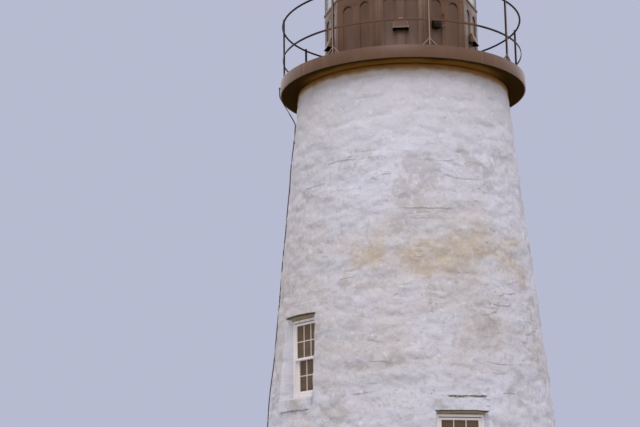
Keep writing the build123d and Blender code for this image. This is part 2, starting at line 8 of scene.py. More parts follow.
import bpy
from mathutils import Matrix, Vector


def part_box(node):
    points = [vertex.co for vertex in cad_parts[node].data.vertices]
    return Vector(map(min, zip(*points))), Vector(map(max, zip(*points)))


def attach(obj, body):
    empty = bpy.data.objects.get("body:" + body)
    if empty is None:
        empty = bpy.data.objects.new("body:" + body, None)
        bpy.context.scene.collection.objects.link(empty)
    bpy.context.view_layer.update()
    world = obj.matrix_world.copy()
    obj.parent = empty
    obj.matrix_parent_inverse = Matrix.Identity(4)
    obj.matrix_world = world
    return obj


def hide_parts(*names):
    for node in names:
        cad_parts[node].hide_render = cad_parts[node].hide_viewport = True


bl_info = {
    "name": "Round Stone Lighthouse",
    "version": (1, 0, 0),
    "blender": (4, 5, 0),
    "location": "View3D > Sidebar > Lighthouse",
    "description": "Limewashed tower, iron gallery and glazed lantern around a fixed frame",
    "category": "Object",
}

from contextlib import contextmanager
from math import atan2, cos, degrees, radians, sin, tan

import bpy
from bpy.props import FloatProperty, FloatVectorProperty, IntProperty
from mathutils import Matrix, Vector

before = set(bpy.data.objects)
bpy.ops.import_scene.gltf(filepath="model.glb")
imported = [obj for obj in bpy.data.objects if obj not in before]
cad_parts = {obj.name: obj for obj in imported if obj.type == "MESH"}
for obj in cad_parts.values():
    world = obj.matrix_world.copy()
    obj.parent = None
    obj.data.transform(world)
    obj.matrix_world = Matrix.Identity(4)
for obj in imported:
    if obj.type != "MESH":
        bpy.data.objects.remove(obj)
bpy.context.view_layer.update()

# Where pieces stand round the tower, as azimuths and the steps between them
WINDOW_AZIMUTHS = (19.7, -52.7, -128.0)
DOOR_AZIMUTH = 120.0
SIDES = 10
FACET_ANGLE = 360.0 / SIDES
SEAM_AZIMUTH = 39.0
POST_AZIMUTH = 12.7
POST_STEP = 45.0
HOOD_STEP = 72.0
CABLE_AZIMUTH = -85.0

# How meshes are cleaned, shaded and rounded, and when a face looks one way
MERGE_DISTANCE = 0.00002
SAME_FACE = radians(0.2)
FLAT = radians(30)
CREASE = radians(70)
EDGE = 0.004
FACING = 0.9

# The wall's pieces from its foot up, and the shape of its openings
COURSES = ("masonry_foot", "masonry_entrance", "masonry_lower_shaft")
COURSES += ("masonry_middle_shaft", "masonry_upper_shaft", "masonry_head")
WALL_SIDES = 160
WINDOW_SPLAY = 23.0
DOOR_SPLAY = 13.5
SPLAY_RISE = 0.09
FRAME_LAP = 0.010
CUT_MARGIN = 0.1
CORE_OVER = 0.05
LINTEL_SHARE = 0.995
STONE_SHARE = 0.45

# How much calmer the relief is in reveals, from what depth and over what run; near seats
CALM_SHARE = 0.7
CALM_DEPTH = 0.03
CALM_RUN = 0.12
SEAT_RUN = 0.10

# Sizes that the frame's parts have: recesses over the deck, hoods, cable and clips
RECESS_PITCH = 0.303
RECESS_WIDTH = 0.178
RECESS_FOOT = 0.245
RECESS_SPRING = 0.86
HOOD_WIDTH = 0.23
HOOD_CROWN = 0.124
CABLE_RADIUS = 0.008
CABLE_GAP = 0.004
CABLE_STRAIGHT = 0.07
CABLE_CORNER = 0.01
CLIP_WIDTH = 0.034
CLIP_METAL = 0.003
CLIP_SEAT = 0.001
CLIP_SINK = 0.02

# The camera's sensor in millimetres, and how far it sees
SENSOR_WIDTH = 36.0
SIGHT = 200.0

# Colours that aren't a piece's own paint
SKY_TINT = (0.95, 0.97, 1.0)
FLOOR_TINT = (0.46, 0.46, 0.48)
DUST_TINT = (1.0, 0.86, 0.84)


def reach(node, low, high, pick):
    """Distance from the axis of a node's points between two levels, as pick chooses it."""
    points = (vertex.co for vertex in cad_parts[node].data.vertices)
    return pick(point.xy.length for point in points if low <= point.z <= high)


# Levels and radii of the frame
band_foot, deck_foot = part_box("wall_band")[0].z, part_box("wall_band")[1].z
deck_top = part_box("gallery_deck")[1].z
base_radius = reach("wall_front", -0.01, 0.01, max)
core_radius = reach("wall_front", -0.01, 0.01, min)
band_radius = reach("wall_band", band_foot, deck_foot, max)
shaft_radius = reach("wall_band", band_foot, deck_foot, min)
deck_radius = reach("gallery_fascia", deck_foot, deck_top, max)


def wall_radius(height):
    """Outer radius of the tapered wall."""
    return base_radius + (band_radius - base_radius) * min(height / band_foot, 1)


def to_world(across, out, up, azimuth):
    """The point at a place seen at an azimuth."""
    a = radians(azimuth)
    return Vector((across * cos(a) + out * sin(a), across * sin(a) - out * cos(a), up))


def to_local(point, azimuth):
    """Across, out and up of a point seen at an azimuth."""
    a = radians(azimuth)
    across, out = Vector((cos(a), sin(a))), Vector((sin(a), -cos(a)))
    return Vector((point.xy.dot(across), point.xy.dot(out), point.z))


def local_points(node, azimuth, sector=30.0):
    """What a node has within a sector about an azimuth, as across, out and up."""
    places = [to_local(vertex.co, azimuth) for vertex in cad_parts[node].data.vertices]
    return [place for place in places if abs(degrees(atan2(place.x, place.y))) < sector]


def corners(places):
    """Lowest and highest corner of some places."""
    return [Vector([pick(axis) for axis in zip(*places)]) for pick in (min, max)]


def srgb(red, green, blue):
    """A colour given as it looks on a screen, from 0 to 255, as linear light."""
    shares = (red / 255, green / 255, blue / 255)
    return tuple(s / 12.92 if s < 0.04045 else ((s + 0.055) / 1.055) ** 2.4 for s in shares)


def number(name, description, default, **kind):
    """A number that a user may change, with its unit if it has one."""
    return FloatProperty(name=name, description=description, default=default, **kind)


def length(name, description, default):
    """A length that a user may change."""
    return number(name, description, default, unit="LENGTH")


def angle(name, description, default):
    """An angle that a user may change, given in degrees."""
    return number(name, description, radians(default), unit="ROTATION")


def count(name, description, default):
    """A whole number that a user may change."""
    return IntProperty(name=name, description=description, default=default, min=1)


def colour(name, description, *seen):
    """A colour that a user may change, given as it looks on a screen."""
    return FloatVectorProperty(
        name=name, description=description, default=srgb(*seen), subtype="COLOR", min=0, max=1
    )


class StageSettings(bpy.types.PropertyGroup):
    """Camera, lights and surroundings."""

    distance: length("Distance", "From the tower's axis to the camera", 20.0)
    eye_height: length("Eye height", "Height of the camera over the tower's foot", 1.99)
    lens: number("Lens", "Focal length in millimetres", 80.17)
    yaw: angle("Yaw", "Turn of the view to the left", 3.519)
    pitch: angle("Pitch", "Tilt of the view upwards", 12.619)
    roll: angle("Roll", "Lean of the camera", -0.707)
    floor_size: length("Floor size", "Side of the floor, which reaches the horizon", 600.0)
    sky: colour("Sky", "Overcast sky behind the tower", 183, 187, 209)
    zenith: number("Zenith", "Strength of the light overhead", 1.16)
    horizon: number("Horizon", "Strength of the light from the horizon", 0.72)
    key: number("Key light", "Power of the soft light", 1650.0)
    key_size: length("Key size", "Side of the soft light", 10.0)
    key_distance: length("Key distance", "From the tower's axis to the soft light", 19.0)
    key_height: length("Key height", "Height of the soft light", 23.0)
    key_aim: length("Key aim", "Height on the tower that the soft light faces", 6.0)


class MasonrySettings(bpy.types.PropertyGroup):
    """The limewashed rubble wall and its dressed stones."""

    mesh_size: length("Mesh size", "Edge of the wall's faces", 0.021)
    course_levels: FloatVectorProperty(
        name="Course levels",
        description="Where the wall's pieces meet",
        size=5,
        default=(1.1, 2.2, 3.6, 5.0, 6.5),
        unit="LENGTH",
    )
    stone_mesh_size: length("Stone mesh size", "Edge of the dressed stones' faces", 0.013)
    stone_height: length("Stone height", "Height of a rubble stone", 0.24)
    stone_stretch: number("Stone stretch", "Length of a stone over its height", 1.8)
    stone_relief: length("Stone relief", "How far a stone stands out of its joints", 0.012)
    joint_share: number("Joint share", "Share of a stone that its joint takes", 0.4)
    ledge_size: length("Ledge size", "Length of the coat's ledges", 0.33)
    ledge_relief: length("Ledge relief", "Depth of the coat's ledges", 0.022)
    lump_size: length("Lump size", "Length of the wall's broad lumps", 0.75)
    lump_relief: length("Lump relief", "Depth of the broad lumps", 0.034)
    ripple_size: length("Ripple size", "Length of the coat's small ripples", 0.12)
    ripple_relief: length("Ripple relief", "Depth of the small ripples", 0.014)
    limewash: colour("Limewash", "Sound coat", 212, 207, 218)
    # Random bright dabs, a painted highlight on the crags, and painted light in the openings'
    # reveals
    fresh_coat_and_light: colour("Fresh coat", "Brightest dabs of the coat", 226, 223, 234)
    # Also laid on the tower's sides as painted shade
    worn: colour("Worn coat", "Thin, beige coat", 202, 193, 194)
    # Also painted shade deep in the openings' reveals
    grey: colour("Grey coat", "Weathered coat", 194, 190, 195)
    # Painted shade in hollows, creases and crag troughs, also laid as darker dabs at random
    shadow: colour("Hollows", "Dirt in hollows and creases", 168, 158, 154)
    stain: colour("Stain", "Ochre stain", 190, 170, 146)
    band_light: colour("Band foot", "Lower edge of the band under the deck", 160, 124, 82)
    band_dark: colour("Band head", "Upper edge of the band under the deck", 134, 86, 28)
    # Mossy and damp colours go on faces that look down: partly mossy growth, partly painted
    # shade
    moss_and_shade: colour("Moss", "Mossy undersides of stones", 148, 138, 94)
    damp: colour("Damp", "Damp patches of the undersides", 168, 140, 110)
    # Colour of lichens, also used for painted shadow lines at joints and drip edges
    lichen_and_shade: colour("Lichen", "Dark green lichen at drip edges", 60, 64, 28)
    # Cracks and pits, and the ledges' dark edge lines, partly a painted shadow
    soot: colour("Crack", "Cracks and joints", 112, 102, 98)


class WindowSettings(bpy.types.PropertyGroup):
    """Sashes, bars and glass of the tower's windows."""

    bar_width: length("Bar width", "Face of a glazing bar", 0.016)
    bar_depth: length("Bar depth", "Depth of a glazing bar", 0.022)
    columns: count("Columns", "Panes across a sash", 3)
    rows: count("Rows", "Panes up a sash", 2)
    paint: colour("Paint", "Cream paint of frames and sashes", 246, 236, 234)
    bars: colour("Bars", "Yellowed paint of the glazing bars", 226, 204, 190)
    wood: colour("Wood", "Bare wood under worn paint", 168, 148, 124)
    pane: colour("Panes", "Dusty glass with blinds behind it", 109, 91, 75)
    pane_green: colour("Green panes", "Olive cast on some of the glass", 95, 82, 58)
    pane_dark: colour("Dark panes", "Darker parts of the glass", 86, 69, 56)


class IronSettings(bpy.types.PropertyGroup):
    """Painted iron of gallery, parapet, lantern and roof, and the entrance door."""

    paint: colour("Paint", "Brown paint in open light", 102, 70, 52)
    shade: colour("Shade", "Darker, older paint", 90, 59, 41)
    # Posts and rails laid dark as painted shade
    rail_shade: colour("Rails", "Paint of posts and rails", 42, 30, 27)
    roof: colour("Roof", "Darker paint of the roof", 64, 45, 38)
    # Bleached paint, also laid on faces that look up partly as a painted highlight, and as
    # painted light on the rails
    chalk_and_light: colour("Chalk", "Paint bleached by weather", 126, 98, 82)
    # Painted highlight on the posts, braces and hoods
    painted_highlight: colour("Bare metal", "Weathered faces of the posts", 158, 136, 120)
    rust: colour("Rust", "Rust at seams and bolts", 104, 58, 38)
    # Painted shade on undersides, in the recesses and round the hoods' crowns; grime on the
    # rod
    grime_and_shade: colour("Grime", "Soot on undersides and under the arches", 34, 22, 14)
    black: colour("Black", "Unlit space behind the hoods", 12, 8, 6)
    dust: number("Dust", "Sheen of dust on the paint", 0.33)
    underside: colour("Underside", "Damp underside near the wall", 122, 84, 34)
    # Painted shade on the deck's underside, partly soot
    soot: colour("Soot", "Sooty outer part of the underside", 54, 37, 16)
    deck: colour("Deck", "Worn top of the deck", 120, 108, 100)
    bolt_radius: length("Bolt radius", "Radius of a bolt's head", 0.009)
    bolt_rise: length("Bolt rise", "Height of a bolt's head", 0.005)
    bolt_inset: length("Bolt inset", "From a facet's corner to its bolts", 0.014)
    bolt_rows: count("Bolt rows", "Bolts up a corner strip", 6)
    board_width: length("Board width", "Width of a board of the entrance door", 0.115)
    glass: colour("Lantern glass", "Tint of the lantern's panes", 214, 222, 224)
    tar: colour("Box", "Tarred paint of the small box", 30, 21, 14)
    cable: colour("Cable", "Cover of the earth cable", 78, 70, 80)
    splash: colour("Splashes", "Limewash splashed on the cable", 176, 170, 180)
    bronze: colour("Rod", "Weathered bronze of the lightning rod", 106, 92, 66)


def deselect():
    """Leave nothing selected."""
    bpy.ops.object.select_all(action="DESELECT")


def pick(*pieces):
    """Select some pieces, the first of them active."""
    deselect()
    for piece in pieces:
        piece.select_set(True)
    bpy.context.view_layer.objects.active = pieces[0]


@contextmanager
def editing(piece):
    """Edit mode on a piece, with all of it selected."""
    pick(piece)
    bpy.ops.object.mode_set(mode="EDIT")
    bpy.ops.mesh.select_all(action="SELECT")
    yield
    bpy.ops.object.mode_set(mode="OBJECT")


def remove(piece):
    """Take a piece away."""
    pick(piece)
    bpy.ops.object.delete()


def modify(piece, kind, **settings):
    """Add a modifier to a piece and apply it."""
    pick(piece)
    modifier = piece.modifiers.new(kind.title(), kind)
    for name, value in settings.items():
        setattr(modifier, name, value)
    bpy.ops.object.modifier_apply(modifier=modifier.name)


def placed(name, data):
    """A new piece with some mesh or curve."""
    piece = bpy.data.objects.new(name, data)
    bpy.context.scene.collection.objects.link(piece)
    return piece


def joined(name, pieces):
    """Some pieces as one, under a name."""
    pick(*pieces)
    bpy.ops.object.join()
    pieces[0].name = name
    return pieces[0]


def copied(node, name):
    """A copy of a node, merged into closed faces."""
    piece = placed(name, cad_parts[node].data.copy())
    piece.data.materials.clear()
    with editing(piece):
        bpy.ops.mesh.customdata_custom_splitnormals_clear()
        bpy.ops.mesh.remove_doubles(threshold=MERGE_DISTANCE)
        bpy.ops.mesh.dissolve_limited(angle_limit=SAME_FACE)
        bpy.ops.mesh.normals_make_consistent(inside=False)
    return piece


def rounded(piece, edge=EDGE):
    """Round a piece's sharp edges and shade it smooth between them."""
    modify(piece, "BEVEL", width=edge, segments=2, limit_method="ANGLE", angle_limit=FLAT)
    bpy.ops.object.shade_smooth_by_angle(angle=FLAT)
    return piece


def beam(low, high, azimuth=0.0):
    """A squared bar between two corners given as across, out and up."""
    middle = (Vector(low) + Vector(high)) / 2
    deselect()
    bpy.ops.mesh.primitive_cube_add(
        size=1, location=to_world(*middle, azimuth), rotation=(0, 0, radians(azimuth))
    )
    bar = bpy.context.object
    bar.scale = Vector(high) - Vector(low)
    bpy.ops.object.transform_apply()
    return bar


def stud(radius, rise):
    """A round bolt's head at the origin, standing out towards the photograph's side."""
    deselect()
    bpy.ops.mesh.primitive_uv_sphere_add(segments=10, ring_count=6, radius=radius)
    head = bpy.context.object
    head.scale = (1, rise / radius, 1)
    bpy.ops.object.transform_apply()
    bpy.ops.object.shade_smooth()
    return head


def repeated(piece, places):
    """Copies of a piece, one for each place, instead of the piece itself."""
    copies = []
    for place in places:
        copies.append(placed(piece.name, piece.data.copy()))
        copies[-1].data.transform(place)
    remove(piece)
    return copies


def seated(piece, material, slot, *nodes):
    """Give a finished piece its material and body, in place of the nodes."""
    piece.data.materials.clear()
    piece.data.materials.append(material)
    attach(piece, "root")
    if nodes:
        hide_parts(*nodes)


def eased(node, name, material, slot, edge=EDGE):
    """A node's copy with rounded edges and a finish, in place of the node."""
    seated(rounded(copied(node, name), edge), material, slot, node)


def painted(material, *nodes):
    """Give nodes that stay as they are a better material."""
    for node in nodes:
        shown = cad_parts[node]
        if not shown.material_slots:
            shown.data.materials.append(material)
        for slot in shown.material_slots:
            slot.material = material


class Wire:
    """A shader value that adds its Math nodes as it is reckoned with."""

    def __init__(self, shader, socket):
        self.shader = shader
        self.socket = socket

    def math(self, operation, *values):
        """One Math node of some values."""
        return self.shader.node("ShaderNodeMath", values, operation=operation)

    def __add__(self, other):
        return self.math("ADD", self, other)

    def __sub__(self, other):
        return self.math("SUBTRACT", self, other)

    def __rsub__(self, other):
        return self.math("SUBTRACT", other, self)

    def __mul__(self, other):
        return self.math("MULTIPLY", self, other)

    def __abs__(self):
        return self.math("ABSOLUTE", self)

    __radd__ = __add__
    __rmul__ = __mul__


class Shader:
    """The nodes of one material, or of the world."""

    MIX_INPUTS = (0, 6, 7)
    MIX_RESULT = 2

    def __init__(self, name, tone=None, owner=None):
        self.owner = owner or bpy.data.materials.new(name)
        self.owner.use_nodes = True
        self.tree = self.owner.node_tree
        self.tree.nodes.clear()
        self.tone = tone
        self.place = self.node("ShaderNodeTexCoord", output="Generated" if owner else "Object")

    def node(self, kind, inputs=(), output=0, **settings):
        """One node of a kind, its settings made first and its inputs by number or name."""
        made = self.tree.nodes.new(kind)
        for name, value in settings.items():
            setattr(made, name, value)
        pairs = inputs.items() if isinstance(inputs, dict) else enumerate(inputs)
        for key, value in pairs:
            if isinstance(value, Wire):
                self.tree.links.new(value.socket, made.inputs[key])
            elif made.inputs[key].type == "RGBA":
                made.inputs[key].default_value = (*value[:3], 1)
            else:
                made.inputs[key].default_value = value
        return Wire(self, made.outputs[output]) if made.outputs else None

    def stretched(self, across, up):
        """The place with its level and upright lengths scaled."""
        scale = (across, across, up)
        return self.node("ShaderNodeMapping", {"Vector": self.place, "Scale": scale})

    def noise(self, scale, detail=4, roughness=0.5, place=None):
        """Soft noise about 0.5, with so many lumps a metre."""
        values = {"Scale": scale, "Detail": detail, "Roughness": roughness}
        return self.node("ShaderNodeTexNoise", {"Vector": place or self.place, **values})

    def streaks(self, across, up, detail=4, roughness=0.5):
        """Soft noise about 0.5, with so many lumps a metre each way."""
        return self.noise(1.0, detail, roughness, self.stretched(across, up))

    def cells(self, scale):
        """Distance within cells, with so many cells a metre."""
        return self.node("ShaderNodeTexVoronoi", {"Vector": self.place, "Scale": scale})

    def stones(self, across, up):
        """Tint and dome of rubble stones, with so many a metre each way."""
        stir = self.node("ShaderNodeTexNoise", {"Vector": self.place, "Scale": 3.0}, "Color")
        place = self.vector("MULTIPLY_ADD", stir, (0.9, 0.9, 0.9), self.stretched(across, up))
        values = {"Vector": place, "Scale": 1.0, "Smoothness": 0.45}
        tint, gap = (
            self.node("ShaderNodeTexVoronoi", values, output, feature="SMOOTH_F1")
            for output in ("Color", "Distance")
        )
        return self.part(tint, 0), 1 - gap

    def fade(self, value, start, end):
        """Smooth rise from 0 at the start to 1 at the end."""
        limits = (value, start, end, 0, 1)
        return self.node("ShaderNodeMapRange", limits, interpolation_type="SMOOTHSTEP")

    def mix(self, factor, first, second):
        """One colour laid over another."""
        inputs = dict(zip(self.MIX_INPUTS, (factor, first, second)))
        return self.node("ShaderNodeMix", inputs, self.MIX_RESULT, data_type="RGBA")

    def lay(self, mask, colour):
        """Lay a colour over the material's tone where the mask is 1."""
        self.tone = self.mix(mask, self.tone, colour)

    def vector(self, operation, *values, output=0):
        """One Vector Math node."""
        return self.node("ShaderNodeVectorMath", values, output, operation=operation)

    def part(self, vector, axis):
        """One coordinate of a vector."""
        return self.node("ShaderNodeSeparateXYZ", (vector,), axis)

    def reach(self, vector):
        """Length of a vector."""
        return self.vector("LENGTH", vector, output="Value")

    def away(self, across, rise):
        """Distance from a point, given how far across and up from it."""
        return self.reach(self.node("ShaderNodeCombineXYZ", (across, rise)))

    def flat(self):
        """The place without its height."""
        return self.vector("MULTIPLY", self.place, (1, 1, 0))

    def face(self):
        """Where a face looks."""
        return self.node("ShaderNodeNewGeometry", output="Normal")

    def up(self):
        """Height over the tower's foot."""
        return self.part(self.place, 2)

    def tilt(self):
        """How far a face looks up, from -1 to 1."""
        return self.part(self.face(), 2)

    def outward(self):
        """How far a face looks away from the tower's axis, from -1 to 1."""
        away = self.vector("NORMALIZE", self.flat())
        return self.vector("DOT_PRODUCT", self.face(), away, output="Value")

    def radius(self):
        """Distance from the tower's axis."""
        return self.reach(self.flat())

    def along(self, azimuth):
        """Distance to the right of the axis, as seen at an azimuth."""
        right = to_world(1, 0, 0, azimuth)
        return self.vector("DOT_PRODUCT", self.place, right, output="Value")

    def beside(self, azimuth, step):
        """Distance sideways from the nearest of the azimuths that repeat by a step."""
        x, y = self.part(self.place, 0), self.part(self.place, 1)
        angle = x.math("ARCTAN2", x, y * -1) - radians(azimuth)
        angle = angle.math("WRAP", angle, radians(step / 2), radians(-step / 2))
        return abs(self.radius() * angle.math("SINE", angle))

    def hollow(self):
        """1 in the hollows and creases of a fine mesh."""
        return self.fade(self.node("ShaderNodeNewGeometry", output="Pointiness"), 0.495, 0.455)

    def spot(self, centre, spread):
        """1 near a point, fading to 0 at the spread given for each axis."""
        share = self.vector("DIVIDE", self.vector("SUBTRACT", self.place, centre), spread)
        return self.fade(self.reach(share), 1, 0.15)

    def finish(self, rough, height=None, **values):
        """Close the material, with a relief in metres if there is one."""
        inputs = {name.replace("_", " "): value for name, value in values.items()}
        if height is not None:
            relief = {"Strength": 1.0, "Distance": 1.0, "Height": height}
            inputs["Normal"] = self.node("ShaderNodeBump", relief)
        inputs.update({"Base Color": self.tone, "Roughness": rough})
        surface = self.node("ShaderNodeBsdfPrincipled", inputs)
        self.node("ShaderNodeOutputMaterial", {"Surface": surface})
        return self.owner


# Ochre stains on the wall: azimuth, height, and the spread along the wall and up
STAINS = (
    (11.0, 5.44, 0.62, 0.42),
    (7.0, 5.48, 0.45, 0.30),
    (32.0, 5.58, 0.80, 0.60),
    (55.0, 5.50, 0.60, 0.60),
    (-13.0, 5.58, 0.22, 0.42),
    (-20.0, 5.50, 0.30, 0.26),
    (-96.0, 4.30, 0.50, 0.50),
    (150.0, 6.10, 0.80, 0.40),
    (-150.0, 3.20, 0.70, 0.50),
    (85.0, 4.10, 0.60, 0.35),
)

# Dark lines along open joints, partly lichens and partly painted shadow under the stones
# above: azimuth, height, half length, half height, strength
JOINTS = (
    (22.0, 3.650, 0.295, 0.012, 0.85),
    (41.0, 3.705, 0.12, 0.006, 0.40),
    (10.0, 6.130, 0.360, 0.010, 0.36),
    (-32.0, 6.870, 0.250, 0.010, 0.32),
    (-48.0, 6.600, 0.240, 0.012, 0.32),
)


def limewash_material(lime):
    """Thick limewash over rubble: stones of different tints, stained, pitted and mossy, with
    painted light and shade on its sides, reveals, crags, creases and undersides.
    """
    s = Shader("limewash", lime.limewash)
    up = s.up()
    broad = s.noise(0.55, 3)
    middle = s.noise(2.1, 5, 0.6)
    fine = s.noise(9.0, 7, 0.62)
    tint, dome = s.stones(2.4, 5.4)
    weathered = s.fade(up, 6.6, 5.6) * s.fade(up, 3.4, 4.4) * 0.22 - 0.10
    # The tower's right side takes more of the worn coat: painted shade.
    right_side_shade = s.fade(s.along(0), 0.8, 1.4) * 0.16
    s.lay(s.fade(broad + (tint - 0.5) * 0.14 + weathered - right_side_shade, 0.44, 0.66), lime.worn)
    # The coat is laid darker and warmer towards its top, and higher up on the tower's left
    # side as painted shade.
    left_side_shade = s.fade(s.along(0), -0.7, -1.3) * s.fade(up, 3.4, 5.0)
    s.lay(s.fade(up, 7.1, 7.8) * 0.4 + left_side_shade * 0.5, lime.worn)
    s.lay(s.fade(tint, 0.60, 0.20) * 0.40, lime.grey)
    s.lay(s.fade(s.streaks(5.0, 0.55), 0.52, 0.72) * 0.25, lime.worn)
    s.lay(s.fade(s.noise(12.0), 0.60, 0.72) * 0.5, lime.fresh_coat_and_light)
    calm = s.fade(up, 7.5, 6.8) * 0.8 + 0.2
    craggy = s.noise(17.0, 6, 0.7)
    s.lay(s.fade(middle + fine * 0.4, 0.74, 0.86) * (calm * 0.5), lime.shadow)
    # The crags' raised tops are laid bright as a painted highlight, and their troughs darker
    # as painted shade.
    s.lay(s.fade(craggy, 0.57, 0.64) * 0.35, lime.fresh_coat_and_light)
    s.lay(s.fade(craggy + (middle - 0.5) * 0.3, 0.44, 0.37) * calm * 0.35, lime.shadow)

    stained = sum(
        s.spot(to_world(0, wall_radius(height), height, azimuth), (wide, wide, tall))
        for azimuth, height, wide, tall in STAINS
    )
    stained = s.fade(stained * (middle + fine + tint * 0.5 - 0.55), 0.05, 0.85)
    mottled = s.fade(craggy + (fine - 0.5) * 0.6, 0.62, 0.40) * 0.45 + 0.35
    s.lay(stained * mottled, lime.stain)

    drift = s.streaks(1.1, 6.5, 2, 0.4)
    rare = s.fade(s.noise(1.7, 3), 0.54, 0.66)
    ledge = s.fade(drift, 0.47, 0.53) * rare
    groove = s.fade(abs(drift - 0.49), 0.030, 0.0) * rare * s.fade(s.noise(16.0), 0.46, 0.60)
    groove, ledge = groove * calm, ledge * calm
    pits = s.fade(s.cells(13.0), 0.24, 0.08) * s.fade(s.noise(2.6, 3), 0.54, 0.66)
    # The dark line at each ledge's edge: partly a crack, partly a painted shadow under the
    # ledge.
    s.lay(groove * 0.28, lime.soot)
    s.lay(pits * 0.35, lime.soot)
    # Creases of the fine mesh are laid darker: painted shade.
    s.lay(s.hollow() * 0.5, lime.shadow)
    depth = base_radius - up * ((base_radius - band_radius) / band_foot) - s.radius()
    # The openings' reveals are laid in the bright coat as painted light, and greyer deeper in
    # as painted shade.
    reveal_light_and_shade = s.fade(s.outward(), 0.80, 0.55)
    s.lay(reveal_light_and_shade * 0.7, lime.fresh_coat_and_light)
    s.lay(reveal_light_and_shade * s.fade(depth, 0.05, 0.20) * 0.6, lime.grey)

    # Dark lines along open joints: partly lichens, partly a painted shadow under the stones
    # above.
    joint = 0
    wander = (s.noise(7.0, 4, 0.6) - 0.5) * 0.06
    for azimuth, height, half_length, half_height, strength in JOINTS:
        away = abs(up - height - wander) + (fine - 0.5) * 0.02
        line = s.fade(away, half_height * 1.5, half_height * 0.4) * strength
        line = line * s.fade(s.along(azimuth + 90) * -1, 1.0, 1.2)
        line = line * s.fade(abs(s.along(azimuth)), half_length, half_length * 0.8)
        joint = joint + line
    lichen_and_shade = s.mix(s.fade(s.noise(30.0, 3), 0.42, 0.6), lime.lichen_and_shade, lime.moss_and_shade)
    s.lay(joint, lichen_and_shade)

    ragged = up + (fine - 0.5) * 0.05 + (middle - 0.5) * 0.06
    rise = s.fade(up, band_foot - 0.05, deck_foot)
    band = s.mix(rise, lime.band_light, lime.band_dark)
    s.lay(s.fade(ragged, band_foot - 0.22, band_foot) * 0.55, lime.stain)
    s.lay(s.fade(ragged, band_foot - 0.080, band_foot - 0.010), band)

    # Faces that look down take mossy and damp colours, with a dark line at their outer edge:
    # partly mossy growth and lichens, partly painted shade and a painted shadow line.
    drip = s.fade(depth + (fine - 0.5) * 0.05, 0.060, 0.024)
    mossy = s.mix(s.fade(fine, 0.4, 0.62), lime.moss_and_shade, lime.damp)
    s.lay(s.fade(s.tilt(), -0.25, -0.60) * 0.95, s.mix(drip, mossy, lime.lichen_and_shade))

    relief = fine * 0.028 + craggy * 0.008 + dome * 0.038 + s.noise(45.0, 3) * 0.002
    relief = relief + ledge * 0.011 - groove * 0.002 - pits * 0.006 - joint * 0.02
    return s.finish(0.92, relief, Specular_IOR_Level=0.25)


def relief_texture(name, kind, size, **settings):
    """A texture that shapes a surface, with features of one size."""
    texture = bpy.data.textures.new(name, kind)
    texture.noise_scale = size
    for setting, value in settings.items():
        setattr(texture, setting, value)
    return texture


def carved(piece, lime, share=1.0, **where):
    """Push a fine mesh in and out as limewashed rubble."""
    deselect()
    bpy.ops.object.empty_add()
    guide = bpy.context.object
    guide.scale = (lime.stone_stretch, lime.stone_stretch, 1)
    stones = relief_texture(
        "stones", "VORONOI", lime.stone_height, weight_1=-1, weight_2=1, noise_intensity=2
    )
    stones.use_color_ramp = True
    stones.color_ramp.interpolation = "EASE"
    for stop, place, value in zip(stones.color_ramp.elements, (0, lime.joint_share), (0, 1)):
        stop.position = place
        stop.color = (value, value, value, 1)
    lumps = relief_texture("lumps", "CLOUDS", lime.lump_size, noise_depth=2)
    ledges = relief_texture(
        "ledges", "CLOUDS", lime.ledge_size, noise_depth=1, noise_type="HARD_NOISE"
    )
    ripples = relief_texture("ripples", "CLOUDS", lime.ripple_size, noise_depth=1)
    layers = (
        (stones, lime.stone_relief, 0.8),
        (lumps, lime.lump_relief, 0.55),
        (ledges, lime.ledge_relief, 0.4),
        (ripples, lime.ripple_relief, 0.5),
    )
    for texture, relief, middle in layers:
        modify(
            piece,
            "DISPLACE",
            texture=texture,
            texture_coords="OBJECT",
            texture_coords_object=guide,
            strength=relief * share,
            mid_level=middle,
            **where,
        )
    remove(guide)
    pick(piece)
    bpy.ops.object.shade_smooth_by_angle(angle=CREASE)


def frustum(low, high, radius_low, radius_high):
    """A closed cone's stump between two levels."""
    deselect()
    bpy.ops.mesh.primitive_cone_add(
        vertices=WALL_SIDES,
        radius1=radius_low,
        radius2=radius_high,
        depth=high - low,
        location=(0, 0, (low + high) / 2),
    )
    bpy.ops.object.transform_apply()
    return bpy.context.object


def draw_out(piece, way, run):
    """Extrude the faces that look one way by a distance."""
    with editing(piece):
        bpy.ops.mesh.select_mode(type="FACE")
        bpy.ops.mesh.select_all(action="DESELECT")
    for face in piece.data.polygons:
        face.select = face.normal.dot(way) > FACING
    bpy.ops.object.mode_set(mode="EDIT")
    bpy.ops.mesh.extrude_region_move(TRANSFORM_OT_translate={"value": way * run})
    bpy.ops.object.mode_set(mode="OBJECT")


def cut_away(piece, cutter, solver="EXACT"):
    """Take a cutter's space out of a piece."""
    modify(piece, "BOOLEAN", operation="DIFFERENCE", solver=solver, object=cutter)
    remove(cutter)


def opening_cutter(node, azimuth, splay, drop):
    """The space of an opening: square where its frame stands, and splayed outside it."""
    low, high = corners(local_points(node, azimuth))
    half = (high.x - low.x) / 2 - FRAME_LAP
    block = beam((-half, shaft_radius - CUT_MARGIN, low.z), (half, high.y, high.z), azimuth)
    run = base_radius + CUT_MARGIN - high.y
    draw_out(block, to_world(0, 1, 0, azimuth), run)
    depth = wall_radius(high.z) - high.y
    for vertex in block.data.vertices:
        place = to_local(vertex.co, azimuth)
        if place.y > high.y + run / 2:
            place.x *= 1 + run * tan(radians(splay)) / half
            place.z += (SPLAY_RISE if place.z > (low.z + high.z) / 2 else -drop) * run / depth
            vertex.co = to_world(*place, azimuth)
    return block


def clamped(value):
    """A value kept between 0 and 1."""
    return min(max(value, 0), 1)


